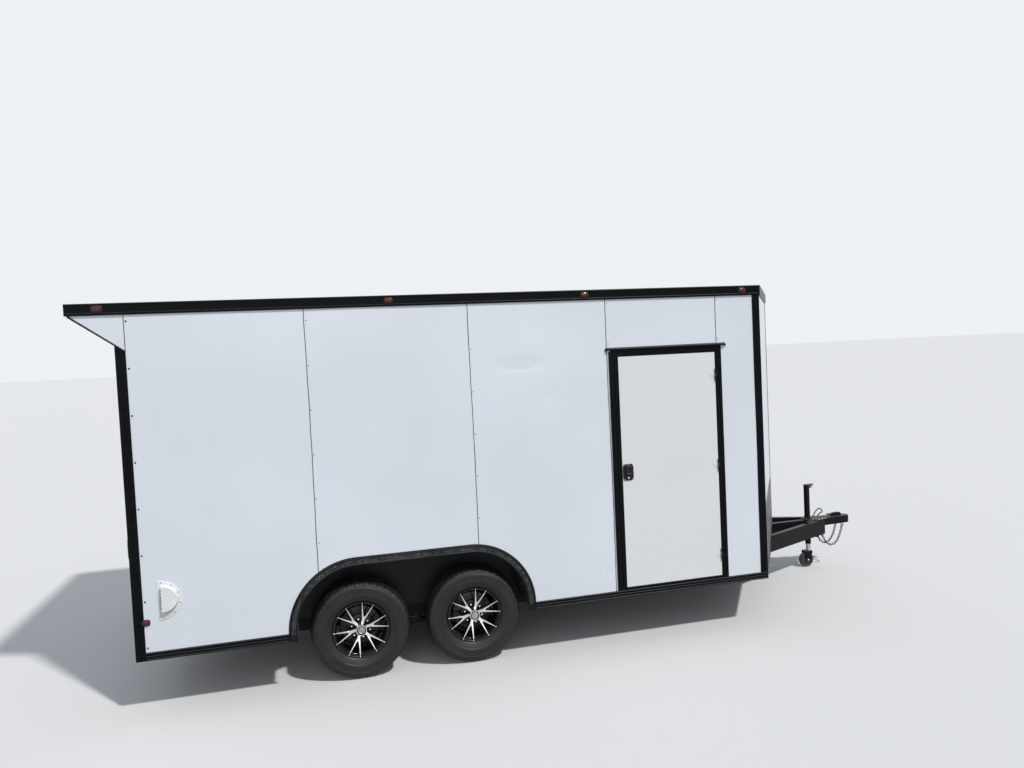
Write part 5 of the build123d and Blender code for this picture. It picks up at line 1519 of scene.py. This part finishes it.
class TRAILER_OT_vents(bpy.types.Operator):
    """Makes the two moulded side vents"""
    bl_idname = "trailer.vents"
    bl_label = "Side vents"

    def scoop(self, width, height, rise, shift, level, rounding):
        """Half-ellipse rings from a straight edge at x = shift, which draw in as they rise."""
        turn = np.linspace(-np.pi / 2, np.pi / 2, 40)
        rings = []
        for share in np.linspace(0, 1, 8):
            draw = 1 - rounding * (1 - math.sqrt(max(0.0, 1 - share ** 2)))
            x = shift + width * np.cos(turn) * draw
            z = height / 2 * np.sin(turn) * draw
            rings.append(np.stack([x, z, np.full_like(x, level + rise * share)], 1))
        return capped(np.array(rings))

    def execute(self, context):
        """A flange, a rib and a hood, with six screws and black slots at its rear edge that paint the
        shade in its openings.
        """
        flange = self.scoop(0.155, 0.280, 0.0050, 0.0, 0.0, 0.05)
        rib = self.scoop(0.128, 0.235, 0.0035, 0.012, 0.004, 0.3)
        hood_x, hood_up, slot_deep, slot_half = 0.024, 0.012, 0.005, 0.005
        slot_low, slot_high = 0.008, 0.028
        hood = placed(self.scoop(0.1100, 0.1880, 0.0290, hood_x, 0.004, 0.07), stand((0, hood_up, 0)))
        one = joined(flange, rib, hood)
        # Painted shade: black boxes in the hood's rear edge stand in for its openings, dark as their
        # insides in shade
        shaded_openings = [box_form((hood_x - slot_deep, hood_up + height - slot_half, slot_low),
                             (hood_x, hood_up + height + slot_half, slot_high))
                    for height in np.linspace(-0.06, 0.06, 6)]
        turn = np.radians([-78, -45, -12, 22, 52, 80])
        wide, tall = 0.142, 0.126
        low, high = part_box("side_vents")
        middle = midway(low.z, high.z)
        shapes, slots = [], []
        for side, x, way in ((-1, low.x, 1), (1, high.x, -1)):
            face = basis((way, 0, 0), (0, 0, 1), (0, side, 0))
            where = stand((x, side * (SKIN + 0.0005), middle), face)
            shapes.append(placed(one, where))
            slots += [placed(opening, where) for opening in shaded_openings]
            spots = np.stack([x + way * wide * np.cos(turn), np.full(6, side * (SKIN + 0.0052)),
                              middle + tall * np.sin(turn)], 1)
            slots.append(heads(spots, (0, side, 0), VENT_SCREW))
        piece("vent_mouldings", joined(*shapes), "vent",
              replaces=("side_vents",), crease=35)
        # The black slots are painted shade; the screws are black
        piece("vent_slots", joined(*slots), "gasket", crease=35)
        return {"FINISHED"}


KEYHOLE = [(0.0, 0.0), (0.0085, 0.0), (0.0085, 0.003), (0.0070, 0.004), (0.0, 0.004)]
# Corners of a drip cap's end: along the wall, out from the skin and down from the cap's top
DRIP_END = ((0, 0, 0.022), (0, 0, 0), (0, 0.022, 0.012), (0, 0.022, 0.022), (0.016, 0, 0.030),
            (0.002, 0.006, 0.004))


class TRAILER_OT_door(bpy.types.Operator):
    """Adds the door's seal, a painted shadow under its drip cap, the latch and the ends of the drip cap
    """
    bl_idname = "trailer.door"
    bl_label = "Side door"

    def plate(self, width, height, depth, rounding, middle):
        """A moulded plate with round corners: superellipse rings that rise straight and then draw
        in by a quarter circle at the edge."""
        x, z = squarish(64, 0.36)
        rings = []
        levels = [(0.0, 0.0)] + [(rounding * (1 - math.cos(a)), depth - rounding * (1 - math.sin(a)))
                                 for a in np.linspace(0, np.pi / 2, 5)]
        for inset, level in levels:
            rings.append(np.stack([middle[0] + x * (width / 2 - inset), np.full(64, middle[1] - level),
                                   middle[2] + z * (height / 2 - inset)], 1))
        return capped(np.array(rings))

    def execute(self, context):
        self.surround()
        self.latch()
        self.drip_ends()
        return {"FINISHED"}

    def surround(self):
        """The seal round the leaf, and a black strip over its head that paints the shadow of the drip
        cap.
        """
        low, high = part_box("door_leaf")
        gap, half = 0.004, 0.0017
        x0, x1, z0, z1 = low.x - gap, high.x + 0.001, low.z - gap, high.z + gap
        line = [(x0, z0), (x0, z1), (x1, z1), (x1, z0)]
        seal = [box_form((min(ax, bx) - half, -SKIN + 0.004, min(az, bz) - half),
                         (max(ax, bx) + half, -SKIN + 0.012, max(az, bz) + half))
                for (ax, az), (bx, bz) in zip(line, line[1:] + line[:1])]
        piece("door_seal", joined(*seal), "gasket")
        # Painted shadow: a black strip on the skin between the frame's top and the drip cap, where the
        # cap's shadow falls
        low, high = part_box("door_frame")
        head = box_form((low.x + 0.037, -SKIN - 0.0088, high.z - 0.035),
                        (high.x - 0.037, -SKIN + 0.001, high.z - 0.014))
        piece("door_head_flashing", head, "black_trim", bevel=0.0006)

    def latch(self):
        """The latch's case in three steps, with its screws and the keyhole's rim."""
        low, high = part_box("door_latch")
        x, y, z = midway(low.x, high.x), high.y, midway(low.z, high.z)
        case = joined(self.plate(0.088, 0.131, 0.0080, 0.0035, (x, y, z)),
                      self.plate(0.060, 0.078, 0.0190, 0.0050, (x, y, z + 0.014)),
                      self.plate(0.046, 0.016, 0.0215, 0.0030, (x, y, z - 0.016)))
        piece("latch_case", case, "latch", body="side_door",
              replaces=("door_latch",), crease=40)
        wide, tall, screw_out, key_out, key_down = 0.034, 0.055, 0.0078, 0.0075, 0.046
        spots = [(x + a, y - screw_out, z + b) for a in (-wide, wide) for b in (-tall, tall)]
        key = placed(turned(KEYHOLE, 24), stand((x, y - key_out, z - key_down), FACE_OUT[-1]))
        piece("latch_metal", joined(heads(spots, (0, -1, 0), LATCH_SCREW), key), "zinc_plate",
              body="side_door")

    def drip_ends(self):
        """Folded ends of the drip cap: corners on the skin and at the lip, and two of the fold."""
        low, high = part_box("door_frame")
        faces = [np.array([[0, 1, 5], [0, 5, 4], [1, 2, 5], [2, 3, 5], [3, 4, 5]]),
                 np.array([[3, 2, 1, 0]]), np.array([[0, 4, 3]])]
        ends = []
        for x, way in ((low.x, -1), (high.x, 1)):
            corners = [(x + way * along, -SKIN - out, high.z - down) for along, out, down in DRIP_END]
            ends.append((np.array(corners), faces))
        piece("drip_cap_ends", joined(*ends), "black_trim", crease=20)


# Outlines of the tongue's turned parts: radius and height
COLLAR = [(0.0285, 0.498), (0.036, 0.498), (0.034, 0.506), (0.0285, 0.510)]
SOCKET = [(0.0297, 0.4242), (0.0335, 0.4242), (0.0335, 0.4228), (0.0297, 0.4228)]
# Half of the caster wheel's outline below its tread: radius and half width
CASTER = [(0.0086, 0.020), (0.030, 0.022), (0.052, 0.014), (0.058, 0.024), (0.068, 0.0245)]


class TRAILER_OT_tongue(bpy.types.Operator):
    """Makes the jack with its crank, the caster and the coupler's small parts"""
    bl_idname = "trailer.tongue"
    bl_label = "Jack and caster"

    def execute(self, context):
        low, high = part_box("jack_ram")
        self.jack(midway(low.x, high.x))
        self.caster()
        self.coupler_parts()
        return {"FINISHED"}

    def jack(self, x):
        """The jack's tube with its cap, collar, plate and bolts, and a crank with a grip."""
        low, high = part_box("jack_housing")
        tube = turned([(0.0250, low.z), (0.0285, low.z), (0.0285, high.z - 0.010),
                       (0.0325, high.z - 0.008), (0.0325, high.z - 0.002), (0.028, high.z),
                       (0.0, high.z)], 48)
        plate_low, plate_high, plate_long, plate_wide = 0.490, 0.498, 0.046, 0.0985
        bolt_long, bolt_wide, arm_radius, grip_radius, grip_y = 0.034, 0.075, 0.0075, 0.0118, 0.110
        plate = box_form((x - plate_long, -plate_wide, plate_low),
                         (x + plate_long, plate_wide, plate_high))
        shaft_z = high.z - 0.030
        crank = [(0.026, 0), (0.050, 0), (0.058, 0.008), (0.058, 0.060), (0.058, 0.104),
                 (0.066, 0.112), (0.080, 0.112)]
        arm = swept(smooth_line([(x + ahead, y, shaft_z) for ahead, y in crank], 8),
                    circle(arm_radius, 16))
        grip_path = np.stack([np.linspace(x + crank[-2][0], high.x, 9), np.full(9, grip_y),
                              np.full(9, shaft_z)], 1)
        bolts = heads([(x + a, b, plate_high) for a in (-bolt_long, bolt_long)
                       for b in (-bolt_wide, bolt_wide)], (0, 0, 1), PLATE_BOLT)
        shape = joined(placed(joined(tube, ring_form(COLLAR, 48)), stand((x, 0, 0))), plate, arm, bolts)
        piece("jack_body", shape, "chassis_black",
              replaces=("jack_housing",), crease=35)
        piece("jack_grip", swept(grip_path, circle(grip_radius, 20)), "plug")

    def caster(self):
        """The caster's solid tyre and the ends of its axle."""
        low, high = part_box("caster_wheel")
        x, z, radius = midway(low.x, high.x), midway(low.z, high.z), (high.z - low.z) / 2
        half = CASTER + [(radius - 0.0005, 0.016)]
        outline = [(r, -w) for r, w in half] + [(radius, 0.0)] + half[::-1]
        piece("caster_tyre", placed(ring_form(outline, 64), stand((x, 0, z), FACE_OUT[-1])), "caster",
              body="caster_wheel", replaces=("caster_wheel",))
        ends = heads([(x, -0.0395, z)], (0, -1, 0), AXLE_END)
        piece("caster_axle_ends", both_sides(ends), "zinc_plate", body="caster_fork")

    def coupler_parts(self):
        """Plate bolts in two rows that draw in, and the bright rim of the ball socket."""
        low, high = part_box("coupler")
        top, ball, first, pitch, aside, draw = 0.497, high.x - 0.055, 0.03, 0.04, 0.078, 0.004
        places = [(low.x + first + pitch * n, side * (aside - draw * n), top)
                  for n in range(3) for side in (-1, 1)]
        rim = placed(ring_form(SOCKET, 48), stand((ball, 0, 0)))
        piece("coupler_bolts", joined(heads(places, (0, 0, 1), PLATE_BOLT), rim), "zinc_plate")


# The chains' eyes: distance along the body and the height of their tops
EYE_PLACES = ((6.245, 0.338), (6.485, 0.424))


class TRAILER_OT_chains(bpy.types.Operator):
    """Makes the two safety chains from round links along a hanging line"""
    bl_idname = "trailer.chains"
    bl_label = "Safety chains"

    def link(self):
        """A round wire carried along a stadium: two straight sides joined by half circles."""
        half, radius, wire = 0.0070, 0.0090, 0.0035
        turn = np.linspace(-np.pi / 2, np.pi / 2, 9)
        ahead = np.stack([half + radius * np.cos(turn), radius * np.sin(turn)], 1)
        behind = np.stack([-half - radius * np.cos(turn), -radius * np.sin(turn)], 1)
        line = np.vstack([ahead, behind])
        path = np.stack([line[:, 0], line[:, 1], np.zeros(len(line))], 1)
        return swept(path, circle(wire, 8), closed=True)

    def pins(self, start, end, count, pitch):
        """Even places on a catenary between two ends: height is the scale times cosh of the
        distance from its lowest place over the scale, found by halving."""
        span, rise = end[0] - start[0], end[1] - start[1]
        length = count * pitch
        low, high = span / 50, span * 50
        for _ in range(60):
            scale = (low + high) / 2
            if 2 * scale * math.sinh(span / 2 / scale) > math.sqrt(length ** 2 - rise ** 2):
                low = scale
            else:
                high = scale
        lowest = span / 2 - scale * math.atanh(rise / length)
        first = scale * math.sinh(-lowest / scale)
        x = scale * np.arcsinh((first + pitch * np.arange(count + 1)) / scale)
        z = scale * np.cosh(x / scale) - scale * math.cosh(-lowest / scale)
        return np.stack([start[0] + lowest + x, start[1] + z], 1)

    def eye(self, x, z, top, y):
        """A bent eye under the tongue: down one side, round below the last link and up again."""
        wide, bend, wire = 0.012, 0.007, 0.0042
        line = [(-wide, top + 0.001), (-wide, z + 0.002), (-bend, z - 0.005), (0, z - 0.008),
                (bend, z - 0.005), (wide, z + 0.002), (wide, top + 0.001)]
        return swept([(x + aside, y, height) for aside, height in line], circle(wire, 10))

    def execute(self, context):
        """Each chain hangs between two eyes, its links turned a quarter by turns."""
        y, drop, count, pitch = -0.050, 0.018, 16, 0.026
        ends = [(place(along), top) for along, top in EYE_PLACES]
        pins = self.pins(*((x, top - drop) for x, top in ends), count, pitch)
        step = pins[1:] - pins[:-1]
        middle = (pins[1:] + pins[:-1]) / 2
        turns = []
        for number, angle in enumerate(np.arctan2(step[:, 1], step[:, 0])):
            roll = math.pi / 2 * (number % 2)
            turns.append(np.array(Matrix.Rotation(-angle, 3, "Y") @ Matrix.Rotation(roll, 3, "X")))
        places = np.stack([middle[:, 0], np.full(count, y), middle[:, 1]], 1)
        links = scattered(self.link(), places, np.array(turns))
        eyes = [self.eye(x, top - drop, top, y) for x, top in ends]
        piece("chain_links", both_sides(joined(links, *eyes)), "chain",
              replaces=("safety_chains",), crease=50)
        return {"FINISHED"}


# The cable's knots, the first at its gland: distance along the body, Y and Z
CABLE_ROUTE = ((5.990, -0.1638, 0.502), (6.062, -0.13175, 0.502), (6.128, -0.098, 0.584),
               (6.212, -0.062, 0.618), (6.278, -0.022, 0.556), (6.304, 0.058, 0.528),
               (6.304, 0.119, 0.478), (6.304, 0.124, 0.402), (6.304, 0.124, 0.340))
CABLE_WIDTH = 0.012
# The plug's outline below its ribbed neck: radius and height under the cable's end
PLUG_BODY = [(0.0125, -0.029), (0.0175, -0.034), (0.0215, -0.040), (0.0220, -0.044), (0.0220, -0.069),
             (0.0250, -0.0705), (0.0250, -0.081), (0.0240, -0.082), (0.0, -0.082)]


class TRAILER_OT_cable(bpy.types.Operator):
    """Makes the plug cable on its smooth line, with its plug"""
    bl_idname = "trailer.cable"
    bl_label = "Plug cable"

    def execute(self, context):
        points = [(place(x), y, z) for x, y, z in CABLE_ROUTE]
        curve = bpy.data.curves.new("cable_run", "CURVE")
        curve.dimensions = "3D"
        curve.bevel_depth = CABLE_WIDTH / 2
        curve.bevel_resolution = 4
        curve.resolution_u = 12
        curve.use_fill_caps = True
        spline = curve.splines.new("NURBS")
        spline.points.add(len(points) - 1)
        for knot, spot in zip(spline.points, points):
            knot.co = (*spot, 1.0)
        spline.order_u = 3
        spline.use_endpoint_u = True
        cable = bpy.data.objects.new("cable_run", curve)
        context.scene.collection.objects.link(cable)
        curve.materials.append(finish("cable"))
        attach(cable, "trailer")
        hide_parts("plug_cable")
        plug = self.plug(points[-1])
        return {"FINISHED"}

    def plug(self, spot):
        """The plug's outline turned about the cable's end: ribbed neck, body and mouth ring."""
        outline = [(0.0075, 0.0)]
        for number in range(5):
            wider, z = 0.0005 * number, -0.003 - 0.005 * number
            outline += [(0.0092 + wider, z), (0.0092 + wider, z - 0.0028), (0.0080 + wider, z - 0.0032)]
        key = box_form((-0.005, 0.0200, -0.0680), (0.005, 0.0258, -0.0450))
        shape = placed(joined(turned(outline + PLUG_BODY, 40), key), stand(spot))
        return piece("cable_plug", shape, "plug", replaces=("plug",),
                     crease=30)


class TRAILER_PT_panel(bpy.types.Panel):
    """Lists the trailer's pieces in the sidebar"""
    bl_label = "Trailer"
    bl_idname = "TRAILER_PT_panel"
    bl_space_type = "VIEW_3D"
    bl_region_type = "UI"
    bl_category = "Trailer"

    def draw(self, context):
        layout = self.layout
        for group in (context.scene.trailer_colours, context.scene.trailer_sizes):
            for name in group.bl_rna.properties.keys():
                if name not in ("rna_type", "name"):
                    layout.prop(group, name)
        for operator in OPERATORS:
            layout.operator(operator.bl_idname)


OPERATORS = (TRAILER_OT_stage, TRAILER_OT_cable, TRAILER_OT_frame_finishes, TRAILER_OT_skins,
             TRAILER_OT_trims, TRAILER_OT_arches, TRAILER_OT_guard, TRAILER_OT_tyres,
             TRAILER_OT_wheels, TRAILER_OT_lamps, TRAILER_OT_vents, TRAILER_OT_door,
             TRAILER_OT_tongue, TRAILER_OT_chains)
CLASSES = (TrailerColours, TrailerSizes) + OPERATORS + (TRAILER_PT_panel,)


def register():
    for each in CLASSES:
        bpy.utils.register_class(each)
    bpy.types.Scene.trailer_colours = bpy.props.PointerProperty(type=TrailerColours)
    bpy.types.Scene.trailer_sizes = bpy.props.PointerProperty(type=TrailerSizes)


def unregister():
    del bpy.types.Scene.trailer_sizes
    del bpy.types.Scene.trailer_colours
    for each in reversed(CLASSES):
        bpy.utils.unregister_class(each)


def main():
    register()
    for operator in OPERATORS:
        group, name = operator.bl_idname.split(".")
        getattr(getattr(bpy.ops, group), name)()


if __name__ == "__main__":
    main()
